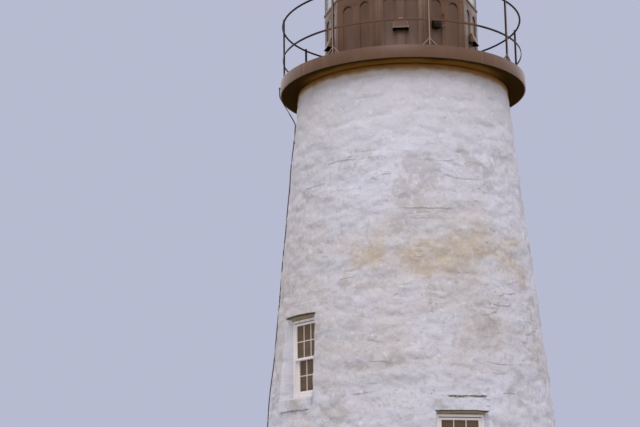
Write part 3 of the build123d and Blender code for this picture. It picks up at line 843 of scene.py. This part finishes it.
def weigh_relief(wall):
    """Weights that keep a wall's seats level and its reveals calmer than its face."""
    levels = {}
    for vertex in wall.data.vertices:
        up, depth = vertex.co.z, wall_radius(vertex.co.z) - vertex.co.xy.length
        calm = 1 - CALM_SHARE * clamped((depth - CALM_DEPTH) / CALM_RUN)
        seat = clamped((deck_foot - up) / SEAT_RUN) * clamped(up / SEAT_RUN)
        levels.setdefault(round(calm * seat, 1), []).append(vertex.index)
    group = wall.vertex_groups.new(name="relief")
    for weight, vertices in levels.items():
        group.add(vertices, weight, "REPLACE")
    return group.name


def course(wall, name, low, high):
    """The part of a wall between two levels, closed at both."""
    pick(wall)
    bpy.ops.object.duplicate()
    piece = bpy.context.object
    piece.name = name
    for level, side in ((low, -1), (high, 1)):
        if 0 < level < deck_foot:
            plane = {"plane_co": (0, 0, level), "plane_no": (0, 0, side)}
            with editing(piece):
                bpy.ops.mesh.bisect(**plane, use_fill=True, clear_outer=True)
    bpy.ops.object.shade_smooth_by_angle(angle=CREASE)
    return piece


class LIGHTHOUSE_OT_masonry(bpy.types.Operator):
    """Build the limewashed wall, with its openings cut through"""

    bl_idname = "lighthouse.masonry"
    bl_label = "Masonry"

    def execute(self, context):
        lime = context.scene.lighthouse_masonry
        wall = frustum(0, band_foot, base_radius, band_radius)
        draw_out(wall, Vector((0, 0, 1)), deck_foot - band_foot)
        for azimuth in WINDOW_AZIMUTHS:
            cut_away(wall, opening_cutter("window_frames", azimuth, WINDOW_SPLAY, SPLAY_RISE))
        cut_away(wall, opening_cutter("door_frame", DOOR_AZIMUTH, DOOR_SPLAY, 0))
        voxel = lime.mesh_size * 1
        modify(wall, "REMESH", mode="VOXEL", voxel_size=voxel)
        carved(wall, lime, vertex_group=weigh_relief(wall))
        core = frustum(-CORE_OVER, deck_foot + CORE_OVER, core_radius, shaft_radius)
        cut_away(wall, core, "MANIFOLD")
        wall.vertex_groups.clear()
        material = limewash_material(lime)
        replaced = [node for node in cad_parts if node.startswith("wall_")]
        levels = (0, *lime.course_levels, deck_foot)
        for name, low, high in zip(COURSES, levels, levels[1:]):
            seated(course(wall, name, low, high), material, "whitewash", *replaced)
            replaced = []
        remove(wall)
        return {"FINISHED"}


class LIGHTHOUSE_OT_dressed_stones(bpy.types.Operator):
    """Roughen the lintels, sills and threshold under the same limewash"""

    bl_idname = "lighthouse.dressed_stones"
    bl_label = "Dressed Stones"

    def execute(self, context):
        lime = context.scene.lighthouse_masonry
        material = bpy.data.materials["limewash"]
        for node in ("window_lintels", "window_sills", "door_lintel", "door_threshold"):
            stone = copied(node, node + "_stone")
            if "lintel" in node:
                stone.data.transform(Matrix.Diagonal((LINTEL_SHARE, LINTEL_SHARE, 1, 1)))
            modify(stone, "REMESH", mode="VOXEL", voxel_size=lime.stone_mesh_size)
            carved(stone, lime, STONE_SHARE)
            seated(stone, material, "dressed_stone", node)
        return {"FINISHED"}


def floor_material(lime):
    """Trodden stone floor."""
    s = Shader("floor_stone", lime.grey)
    s.lay(s.noise(3.0, 6), lime.soot)
    return s.finish(0.85, s.noise(12.0, 6) * 0.004)


class LIGHTHOUSE_OT_floors(bpy.types.Operator):
    """Finish the ground floor"""

    bl_idname = "lighthouse.floors"
    bl_label = "Floors"

    def execute(self, context):
        painted(floor_material(context.scene.lighthouse_masonry), "ground_floor")
        return {"FINISHED"}


def joinery_material(name, paint, wood, gaps=()):
    """Brushed paint on wood, worn through in places, with a painted shadow at the height of
    gaps.
    """
    s = Shader(name, paint)
    grain = s.streaks(60.0, 6.0, 5)
    worn = s.fade(s.noise(11.0, 6, 0.65), 0.62, 0.72)
    s.lay(s.noise(4.0), [share * 0.88 for share in paint])
    s.lay(worn * 0.5, wood)
    # A dark line at each gap's height: painted shadow between frame and sash.
    for gap in gaps:
        shadow = s.fade(abs(s.up() - gap), 0.014, 0.009)
        s.lay(shadow * 0.9, [share * 0.05 for share in paint])
    relief = grain * 0.0008 - worn * 0.0006
    return s.finish(s.fade(grain, 0, 1) * 0.2 + 0.45, relief)


def pane_material(sash):
    """Old panes, dusty outside, with brown blinds close behind them."""
    s = Shader("dusty_panes", sash.pane)
    s.lay(s.fade(s.streaks(0.6, 26.0, 2), 0.35, 0.65) * 0.4, sash.pane_dark)
    s.lay(s.fade(s.noise(3.1, 2), 0.46, 0.60) * 0.7, sash.pane_green)
    s.lay(s.fade(s.streaks(9.0, 0.7, 3), 0.50, 0.66) * 0.7, sash.pane_dark)
    return s.finish(0.22, s.noise(5.0, 2) * 0.003, Specular_IOR_Level=0.06)


class LIGHTHOUSE_OT_windows(bpy.types.Operator):
    """Build the window frames, sashes, glazing bars and panes"""

    bl_idname = "lighthouse.windows"
    bl_label = "Windows"

    def execute(self, context):
        sash = context.scene.lighthouse_windows
        paint = joinery_material("window_paint", sash.paint, sash.wood)
        gaps = [
            corners(local_points("upper_sashes", azimuth))[1].z for azimuth in WINDOW_AZIMUTHS
        ]
        shadowed = joinery_material("sash_paint", sash.paint, sash.wood, gaps)
        for node, finish in (
            ("window_frames", paint),
            ("upper_sashes", shadowed),
            ("lower_sashes", paint),
        ):
            eased(node, node + "_painted", finish, "window_paint")
        bars = []
        for azimuth in WINDOW_AZIMUTHS:
            panes = local_points("window_glass", azimuth)
            low, high = corners(panes)
            middle = (low.y + high.y) / 2
            for upper in (True, False):
                low, high = corners([place for place in panes if (place.y > middle) == upper])
                bars += self.sash_bars(sash, azimuth, low, high)
        whole = rounded(joined("glazing_bars_of_windows", bars), edge=0.005)
        yellowed = joinery_material("bar_paint", sash.bars, sash.wood)
        seated(whole, yellowed, "window_paint")
        painted(pane_material(sash), "window_glass")
        return {"FINISHED"}

    def sash_bars(self, sash, azimuth, low, high):
        """Bars that divide one sash's glass into panes."""
        glass = (low.y + high.y) / 2
        back, front = glass - sash.bar_depth / 2, glass + sash.bar_depth / 2
        half = sash.bar_width / 2
        bars = []
        for column in range(1, sash.columns):
            x = low.x + (high.x - low.x) * column / sash.columns
            bars.append(beam((x - half, back, low.z), (x + half, front, high.z), azimuth))
        for row in range(1, sash.rows):
            z = low.z + (high.z - low.z) * row / sash.rows
            bars.append(beam((low.x, back, z - half), (high.x, front, z + half), azimuth))
        return bars


def dust_sheen(iron, share=1.0):
    """Gloss of the iron's paint under a share of its dust."""
    return {
        "Specular_IOR_Level": 0.3 * share,
        "Sheen_Weight": iron.dust * share,
        "Sheen_Roughness": 0.35,
        "Sheen_Tint": DUST_TINT,
    }


def recess_shade(s, iron):
    """Painted shade in the parapet's arched recesses, a painted shadow under their crowns and
    black painted shade inside the hoods.
    """
    up = s.up()
    across = abs(s.beside(0, FACET_ANGLE) - RECESS_PITCH / 2)
    rise = up - (deck_top + RECESS_SPRING)
    away = s.away(across, rise)
    radius = RECESS_WIDTH / 2
    rim = s.fade(away, radius - 0.024, radius - 0.010) * s.fade(away, radius + 0.005, radius)
    crown = rim * s.fade(rise - across * 0.4, 0.0, radius * 0.5)
    foot = deck_top + RECESS_FOOT
    floor = s.fade(across, radius, radius - 0.006) * s.fade(rise, radius * 0.7, 0.0)
    # Painted shade low in each recess, and a painted shadow under its crown.
    s.lay(floor * s.fade(up, foot - 0.01, foot) * 0.18, iron.grime_and_shade)
    s.lay(crown * 0.85, iron.grime_and_shade)
    # Black painted shade behind each hood's mouth.
    low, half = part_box("vent_hoods")[0].z, HOOD_WIDTH / 2
    aside = s.beside(0, HOOD_STEP) + (up - low) * 0.35
    inside = s.fade(aside, half, half - 0.004) * s.fade(up, low - 0.016, low - 0.004)
    s.lay(inside * s.fade(up, low + 0.12, low + 0.11), iron.black)


def hood_light_and_shade(s, iron):
    """A hood's edges, lip and crown rim laid bright as a painted highlight, with painted shade
    round the crown and inside.
    """
    across = s.beside(0, HOOD_STEP)
    low, high = (corner.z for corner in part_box("vent_hoods"))
    radius = HOOD_CROWN / 2
    rise = s.up() - (high - radius)
    away = s.away(across, rise)
    over = s.fade(rise, 0.0, 0.01)
    crown = s.fade(abs(away - (radius - 0.005)), 0.010, 0.005) * over
    edge = s.fade(across + rise * 0.18, radius + 0.024, radius + 0.032) * (1 - over)
    lip = s.fade(s.up(), low + 0.034, low + 0.026) * 0.35
    # Painted highlight on the crown's rim, the edges and the lip.
    hood_highlight = s.fade(crown + edge + lip, 0.0, 1.0) * s.fade(s.outward(), 0.5, 0.8)
    s.lay(hood_highlight * 0.7, iron.painted_highlight)
    # A ring of painted shade within the crown, and black painted shade on the inner faces.
    s.lay(s.fade(abs(away - (radius - 0.020)), 0.010, 0.005) * over * 0.8, iron.grime_and_shade)
    s.lay(s.fade(s.outward(), 0.1, -0.1), iron.black)


def posts_highlighted(s, iron):
    """Posts and braces laid bright along their outer edge and upper side: a painted highlight.
    """
    across = s.beside(POST_AZIMUTH, POST_STEP)
    rise = s.up() - deck_top
    post = s.fade(across, 0.011, 0.006)
    brace = s.fade(rise + across * 1.1, 0.096, 0.104) * s.fade(rise, 0.130, 0.118)
    # Outward and upward faces laid bright: a painted highlight.
    post_highlight = s.fade(post + brace, 0, 1) * s.fade(s.outward(), 0.80, 0.97)
    post_highlight = post_highlight + s.fade(s.tilt(), 0.35, 0.7) * 0.8
    s.lay(s.fade(post_highlight, 0, 1) * 0.75, iron.painted_highlight)


def rail_lighting(s, iron):
    """Rails laid in a lighter, chalky paint where they pass the lantern: painted light."""
    dust_and_light = s.mix(s.noise(9.0) * 0.5 + 0.1, iron.shade, iron.chalk_and_light)
    # Lighter where it passes the lantern: painted light.
    s.lay(s.fade(abs(s.along(0)), 1.15, 0.95) * 0.85, dust_and_light)


def iron_material(name, iron, paint, shade, rough=0.36, dust_and_light=1.0, marks=None):
    """Oil paint on iron: streaked, lighter on top (partly dust, partly a painted highlight),
    with painted shade underneath and specks of rust.
    """
    s = Shader(name, paint)
    streaks = s.streaks(16.0, 1.4, 5)
    fine = s.noise(38.0, 5)
    s.lay(s.fade(s.noise(1.6), 0.38, 0.64), shade)
    s.lay(s.fade(streaks, 0.55, 0.75) * 0.25 * dust_and_light, iron.chalk_and_light)
    # Faces that look up are laid lighter: partly dust, partly a painted highlight.
    s.lay(s.fade(s.tilt(), 0.30, 0.90) * 0.5 * dust_and_light, iron.chalk_and_light)
    specks = s.fade(s.noise(22.0), 0.70, 0.76) * s.fade(s.noise(2.2), 0.5, 0.65)
    s.lay(specks * 0.8 * dust_and_light, iron.rust)
    if marks:
        marks(s, iron)
    # Faces that look down are laid nearly black: painted shade.
    s.lay(s.fade(s.tilt(), -0.10, -0.45) * 0.85, iron.grime_and_shade)
    dull = s.fade(streaks, 0.2, 0.8) * 0.18 + rough
    return s.finish(dull, fine * 0.0012 + specks * 0.0006, **dust_sheen(iron, dust_and_light))


def fascia_material(iron):
    """Fascia paint with rust bleeding from the seams between its plates."""
    s = Shader("fascia_paint", iron.paint)
    across = abs(s.along(SEAM_AZIMUTH))
    away = across.math("MINIMUM", across, abs(s.along(SEAM_AZIMUTH + 90)))
    fine = s.noise(30.0, 5)
    streaks = s.streaks(9.0, 1.2, 5)
    s.lay(s.fade(s.noise(1.3), 0.4, 0.62) * 0.6, iron.shade)
    s.lay(s.fade(streaks, 0.5, 0.75) * 0.30 + 0.06, iron.chalk_and_light)
    s.lay(s.fade(s.tilt(), -0.5, -0.9), iron.underside)
    s.lay(s.fade(away + (fine - 0.5) * 0.02, 0.012, 0.003) * 0.35, iron.rust)
    return s.finish(0.4, fine * 0.0015, **dust_sheen(iron))


def deck_material(iron):
    """Underside laid dark away from the wall and at the tower's sides, painted shade partly
    from soot; bleached and trodden top.
    """
    s = Shader("deck_paint", iron.underside)
    damp = s.noise(2.5, 6)
    # The underside is laid darker away from the wall and at the tower's sides: painted shade,
    # partly soot.
    outer_underside_shade = s.fade(s.radius() + (damp - 0.5) * 0.20, band_radius + 0.06, band_radius + 0.20)
    sides = s.fade(abs(s.along(0)), 1.1, 1.5)
    s.lay(1 - (1 - outer_underside_shade) * (1 - sides), iron.soot)
    top = s.mix(s.fade(damp, 0.35, 0.65), iron.deck, iron.shade)
    s.lay(s.fade(s.tilt(), -0.2, 0.2), top)
    return s.finish(0.8, s.noise(25.0, 5) * 0.002, Specular_IOR_Level=0.0)


class LIGHTHOUSE_OT_deck(bpy.types.Operator):
    """Finish the gallery's deck and the fascia round it"""

    bl_idname = "lighthouse.deck"
    bl_label = "Gallery Deck"

    def execute(self, context):
        iron = context.scene.lighthouse_iron
        painted(deck_material(iron), "gallery_deck")
        finish = fascia_material(iron)
        eased("gallery_fascia", "fascia_plates", finish, "iron_paint", edge=0.003)
        return {"FINISHED"}


class LIGHTHOUSE_OT_railing(bpy.types.Operator):
    """Finish the posts with their braces, and both rails"""

    bl_idname = "lighthouse.railing"
    bl_label = "Gallery Railing"

    def execute(self, context):
        iron = context.scene.lighthouse_iron
        coat = {"paint": iron.rail_shade, "shade": iron.rail_shade, "rough": 0.4, "dust_and_light": 0.25}
        posts = iron_material("post_paint", iron, **coat, marks=posts_highlighted)
        rails = iron_material("rail_paint", iron, **coat, marks=rail_lighting)
        eased("rail_posts", "posts_and_braces", posts, "rail_paint", edge=0.0035)
        eased("mid_rail", "mid_rail_bars", rails, "rail_paint", edge=0.002)
        painted(rails, "top_rail")
        return {"FINISHED"}


class LIGHTHOUSE_OT_parapet(bpy.types.Operator):
    """Finish the lantern's iron parapet, its hoods, door and corner strips"""

    bl_idname = "lighthouse.parapet"
    bl_label = "Parapet"

    def execute(self, context):
        iron = context.scene.lighthouse_iron
        coats = (iron.paint, iron.shade)
        paint = iron_material("iron_paint", iron, *coats, marks=recess_shade)
        hoods = iron_material("hood_paint", iron, *coats, marks=hood_light_and_shade)
        for node, edge, finish in (
            ("parapet_panels", EDGE, paint),
            ("corner_posts", 0.003, paint),
            ("gallery_door", EDGE, paint),
            ("vent_hoods", 0.002, hoods),
            ("parapet_box", 0.003, self.box_material(iron)),
        ):
            eased(node, node + "_cast", finish, "iron_paint", edge)
        painted(paint, "lantern_floor")
        self.add_bolts(iron, paint)
        return {"FINISHED"}

    def box_material(self, iron):
        """A tarred box, and a lighter conduit beside it."""
        s = Shader("box_paint", iron.tar)
        fine = s.noise(40.0)
        s.lay(s.fade(fine, 0.5, 0.7) * 0.4, iron.shade)
        pipe = s.mix(s.fade(fine, 0.40, 0.55), iron.chalk_and_light, iron.paint)
        s.lay(s.fade(s.along(FACET_ANGLE), -0.120, -0.112), pipe)
        return s.finish(0.5, fine * 0.001, Specular_IOR_Level=0.1)

    def add_bolts(self, iron, paint):
        """Bolt heads down both sides of each corner strip."""
        high = corners(local_points("parapet_panels", 0, FACET_ANGLE / 2 - 1))[1]
        step = (high.z - deck_top) / iron.bolt_rows
        places = [
            Matrix.Rotation(radians(facet * FACET_ANGLE), 4, "Z")
            @ Matrix.Translation(
                (side * (high.x - iron.bolt_inset), -high.y, deck_top + step * (row + 0.5))
            )
            for facet in range(SIDES)
            for side in (-1, 1)
            for row in range(iron.bolt_rows)
        ]
        heads = repeated(stud(iron.bolt_radius, iron.bolt_rise), places)
        seated(joined("parapet_bolts", heads), paint, "iron_paint")


def glass_material(iron):
    """Clear lantern panes, dusty in patches."""
    s = Shader("lantern_glass", iron.glass)
    dust = s.fade(s.noise(3.0, 5), 0.4, 0.75) * 0.25 + 0.16
    return s.finish(0.04, Alpha=dust, Specular_IOR_Level=0.7)


class LIGHTHOUSE_OT_glazing(bpy.types.Operator):
    """Finish the lantern's glazing"""

    bl_idname = "lighthouse.glazing"
    bl_label = "Lantern Glazing"

    def execute(self, context):
        iron = context.scene.lighthouse_iron
        paint = bpy.data.materials["iron_paint"]
        for node in ("glazing_sill", "glazing_head", "glazing_bars"):
            eased(node, node + "_cast", paint, "iron_paint")
        painted(glass_material(iron), "glazing_panes")
        return {"FINISHED"}


class LIGHTHOUSE_OT_roof(bpy.types.Operator):
    """Finish the lantern's roof, ventilator ball and lightning rod"""

    bl_idname = "lighthouse.roof"
    bl_label = "Lantern Roof"

    def execute(self, context):
        iron = context.scene.lighthouse_iron
        paint = iron_material("roof_paint", iron, iron.shade, iron.roof, rough=0.4)
        eased("roof_ribs", "roof_rib_caps", paint, "roof_paint", edge=0.005)
        painted(paint, "roof", "vent_collar", "vent_ball")
        rod = iron_material("rod_metal", iron, iron.bronze, iron.grime_and_shade, rough=0.3)
        painted(rod, "lightning_rod")
        return {"FINISHED"}


class LIGHTHOUSE_OT_entrance(bpy.types.Operator):
    """Finish the entrance door and its frame"""

    bl_idname = "lighthouse.entrance"
    bl_label = "Entrance Door"

    def execute(self, context):
        iron = context.scene.lighthouse_iron
        wood = context.scene.lighthouse_windows.wood
        paint = joinery_material("door_paint", iron.paint, wood)
        eased("door_frame", "door_frame_painted", paint, "door_paint", edge=0.005)
        low, high = corners(local_points("door_leaf", DOOR_AZIMUTH))
        across = round((high.x - low.x) / iron.board_width)
        width = (high.x - low.x) / across
        boards = []
        for board in range(across):
            left = low.x + width * board
            far = (left + width, high.y, high.z)
            boards.append(beam((left, low.y, low.z), far, DOOR_AZIMUTH))
        boards = rounded(joined("door_boards", boards), edge=0.006)
        seated(boards, paint, "door_paint", "door_leaf")
        return {"FINISHED"}


# The cable's way down the wall: share of the wall's height, and gap behind the cable
CABLE_ROUTE = (
    (0.949, 0.002), (0.944, 0.002), (0.930, 0.003), (0.915, 0.002), (0.895, 0.010),
    (0.875, 0.016), (0.853, 0.012), (0.840, 0.003), (0.787, 0.010), (0.750, 0.004),
    (0.713, 0.009), (0.640, 0.002), (0.573, 0.006), (0.530, 0.002), (0.494, 0.012),
    (0.463, 0.018), (0.427, 0.004), (0.366, 0.005), (0.293, 0.008), (0.207, 0.003),
    (0.122, 0.007), (0.049, 0.003), (0.004, 0.003),
)
CLIP_SHARES = (0.915, 0.640, 0.530, 0.427, 0.207, 0.049)


def wall_face(height, azimuth):
    """How far the limewashed wall reaches out at a height and azimuth."""
    inward = to_world(0, -1, 0, azimuth)
    start = to_world(0, base_radius + 1, height, azimuth)
    for name in COURSES:
        hit, place, *_ = bpy.data.objects[name].ray_cast(start, inward)
        if hit:
            return place.xy.length
    raise RuntimeError("the cable finds no wall beside it")


class LIGHTHOUSE_OT_cable(bpy.types.Operator):
    """Lay the earth cable down the lumps of the wall, with its clips"""

    bl_idname = "lighthouse.cable"
    bl_label = "Earth Cable"

    def execute(self, context):
        iron = context.scene.lighthouse_iron
        radius = CABLE_RADIUS
        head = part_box("earth_cable")[1].z
        fascia = deck_radius + CABLE_GAP + radius
        route = [
            (fascia, head),
            (fascia, head - CABLE_STRAIGHT),
            (fascia, deck_foot + CABLE_CORNER),
            (fascia - CABLE_CORNER, deck_foot - 3 * CABLE_CORNER),
        ]
        for share, gap in CABLE_ROUTE:
            height = share * deck_foot
            route.append((wall_face(height, CABLE_AZIMUTH) + gap + radius, height))
        cover = self.cover_material(iron)
        seated(self.laid(route, radius), cover, "cable_cover", "earth_cable")
        thick = radius + CLIP_METAL
        low = (-thick, deck_radius - CLIP_SEAT, head - CLIP_WIDTH)
        clips = [beam(low, (thick, fascia + thick, head), CABLE_AZIMUTH)]
        for share in CLIP_SHARES:
            height = share * deck_foot
            face = wall_face(height, CABLE_AZIMUTH)
            low = (-thick, face - CLIP_SINK, height - CLIP_WIDTH / 2)
            high = (thick, face + 2 * radius + thick / 2, height + CLIP_WIDTH / 2)
            clips.append(beam(low, high, CABLE_AZIMUTH))
        seated(rounded(joined("saddle_clips", clips)), cover, "cable_cover", "cable_clips")
        return {"FINISHED"}

    def laid(self, route, radius):
        """The cable as a tube along a smooth line through its route."""
        curve = bpy.data.curves.new("earth_cable_cover", "CURVE")
        curve.dimensions = "3D"
        curve.bevel_depth = radius
        curve.bevel_resolution = 3
        curve.resolution_u = 6
        curve.use_fill_caps = True
        line = curve.splines.new("NURBS")
        line.points.add(len(route) - 1)
        for point, (out, up) in zip(line.points, route):
            point.co = (*to_world(0, out, up, CABLE_AZIMUTH), 1)
        line.order_u = 3
        line.use_endpoint_u = True
        cable = placed("earth_cable_cover", curve)
        pick(cable)
        bpy.ops.object.convert(target="MESH")
        with editing(cable):
            bpy.ops.mesh.remove_doubles(threshold=MERGE_DISTANCE)
            bpy.ops.mesh.normals_make_consistent(inside=False)
        bpy.ops.object.shade_smooth_by_angle(angle=CREASE)
        return cable

    def cover_material(self, iron):
        """Grey cover, splashed with limewash."""
        s = Shader("cable_cover", iron.cable)
        s.lay(s.noise(20.0), iron.shade)
        s.lay(s.fade(s.noise(9.0), 0.54, 0.60) * 0.75, iron.splash)
        return s.finish(0.6, s.noise(90.0) * 0.0008)


class LIGHTHOUSE_OT_stage(bpy.types.Operator):
    """Set the floor, sky, lights and camera"""

    bl_idname = "lighthouse.stage"
    bl_label = "Stage"

    def execute(self, context):
        stage = context.scene.lighthouse_stage
        self.make_floor(stage)
        self.make_sky(context, stage)
        self.make_lights(stage)
        self.make_camera(context, stage)
        context.scene.view_settings.view_transform = "Standard"
        return {"FINISHED"}

    def make_floor(self, stage):
        """A plain pale floor."""
        deselect()
        bpy.ops.mesh.primitive_plane_add(size=stage.floor_size)
        floor = bpy.context.object
        floor.name = "floor"
        floor.data.materials.append(Shader("floor", FLOOR_TINT).finish(0.9))

    def make_sky(self, context, stage):
        """An overcast sky, lighter overhead, that looks plain behind the tower."""
        world = bpy.data.worlds.new("overcast")
        context.scene.world = world
        s = Shader("overcast", owner=world)
        horizon, zenith = (
            [strength * share for share in SKY_TINT]
            for strength in (stage.horizon, stage.zenith)
        )
        tone = s.mix(s.fade(s.up(), -0.1, 0.9), horizon, zenith)
        light = s.node("ShaderNodeBackground", {"Color": tone})
        seen = s.node("ShaderNodeBackground", {"Color": stage.sky})
        seen_by_camera = s.node("ShaderNodeLightPath", output="Is Camera Ray")
        both = s.node("ShaderNodeMixShader", (seen_by_camera, light, seen))
        s.node("ShaderNodeOutputWorld", {"Surface": both})

    def make_lights(self, stage):
        """A large soft light behind the camera, higher than the gallery."""
        place = Vector((0, -stage.key_distance, stage.key_height))
        deselect()
        bpy.ops.object.light_add(type="AREA", location=place)
        lamp = bpy.context.object
        lamp.data.size = stage.key_size
        lamp.data.energy = stage.key
        aim = Vector((0, 0, stage.key_aim)) - place
        lamp.rotation_euler = aim.to_track_quat("-Z", "Y").to_euler()

    def make_camera(self, context, stage):
        """The photograph's camera."""
        place = Matrix.Translation((0, -stage.distance, stage.eye_height))
        upright = stage.pitch + radians(90)
        for turn, axis in ((stage.yaw, "Z"), (upright, "X"), (stage.roll, "Z")):
            place = place @ Matrix.Rotation(turn, 4, axis)
        deselect()
        bpy.ops.object.camera_add()
        camera = bpy.context.object
        camera.matrix_world = place
        camera.data.sensor_width = SENSOR_WIDTH
        camera.data.lens = stage.lens
        camera.data.clip_end = SIGHT
        context.scene.camera = camera


class LIGHTHOUSE_PT_pieces(bpy.types.Panel):
    """Buttons for the lighthouse's pieces"""

    bl_idname = "LIGHTHOUSE_PT_pieces"
    bl_label = "Lighthouse"
    bl_space_type = "VIEW_3D"
    bl_region_type = "UI"
    bl_category = "Lighthouse"

    def draw(self, context):
        for operator in OPERATORS:
            self.layout.operator(operator.bl_idname)


SETTINGS = {
    "lighthouse_stage": StageSettings,
    "lighthouse_masonry": MasonrySettings,
    "lighthouse_windows": WindowSettings,
    "lighthouse_iron": IronSettings,
}
OPERATORS = (
    LIGHTHOUSE_OT_stage,
    LIGHTHOUSE_OT_masonry,
    LIGHTHOUSE_OT_dressed_stones,
    LIGHTHOUSE_OT_floors,
    LIGHTHOUSE_OT_windows,
    LIGHTHOUSE_OT_entrance,
    LIGHTHOUSE_OT_deck,
    LIGHTHOUSE_OT_railing,
    LIGHTHOUSE_OT_parapet,
    LIGHTHOUSE_OT_glazing,
    LIGHTHOUSE_OT_roof,
    LIGHTHOUSE_OT_cable,
)


def register():
    """Make the settings, operators and panel known."""
    for name, group in SETTINGS.items():
        bpy.utils.register_class(group)
        setattr(bpy.types.Scene, name, bpy.props.PointerProperty(type=group))
    for operator in OPERATORS:
        bpy.utils.register_class(operator)
    bpy.utils.register_class(LIGHTHOUSE_PT_pieces)


def unregister():
    """Forget them again."""
    bpy.utils.unregister_class(LIGHTHOUSE_PT_pieces)
    for operator in reversed(OPERATORS):
        bpy.utils.unregister_class(operator)
    for name, group in SETTINGS.items():
        delattr(bpy.types.Scene, name)
        bpy.utils.unregister_class(group)


def main():
    """Build every piece in order."""
    register()
    bpy.ops.lighthouse.stage()
    bpy.ops.lighthouse.masonry()
    bpy.ops.lighthouse.dressed_stones()
    bpy.ops.lighthouse.floors()
    bpy.ops.lighthouse.windows()
    bpy.ops.lighthouse.entrance()
    bpy.ops.lighthouse.deck()
    bpy.ops.lighthouse.railing()
    bpy.ops.lighthouse.parapet()
    bpy.ops.lighthouse.glazing()
    bpy.ops.lighthouse.roof()
    bpy.ops.lighthouse.cable()


if __name__ == "__main__":
    main()
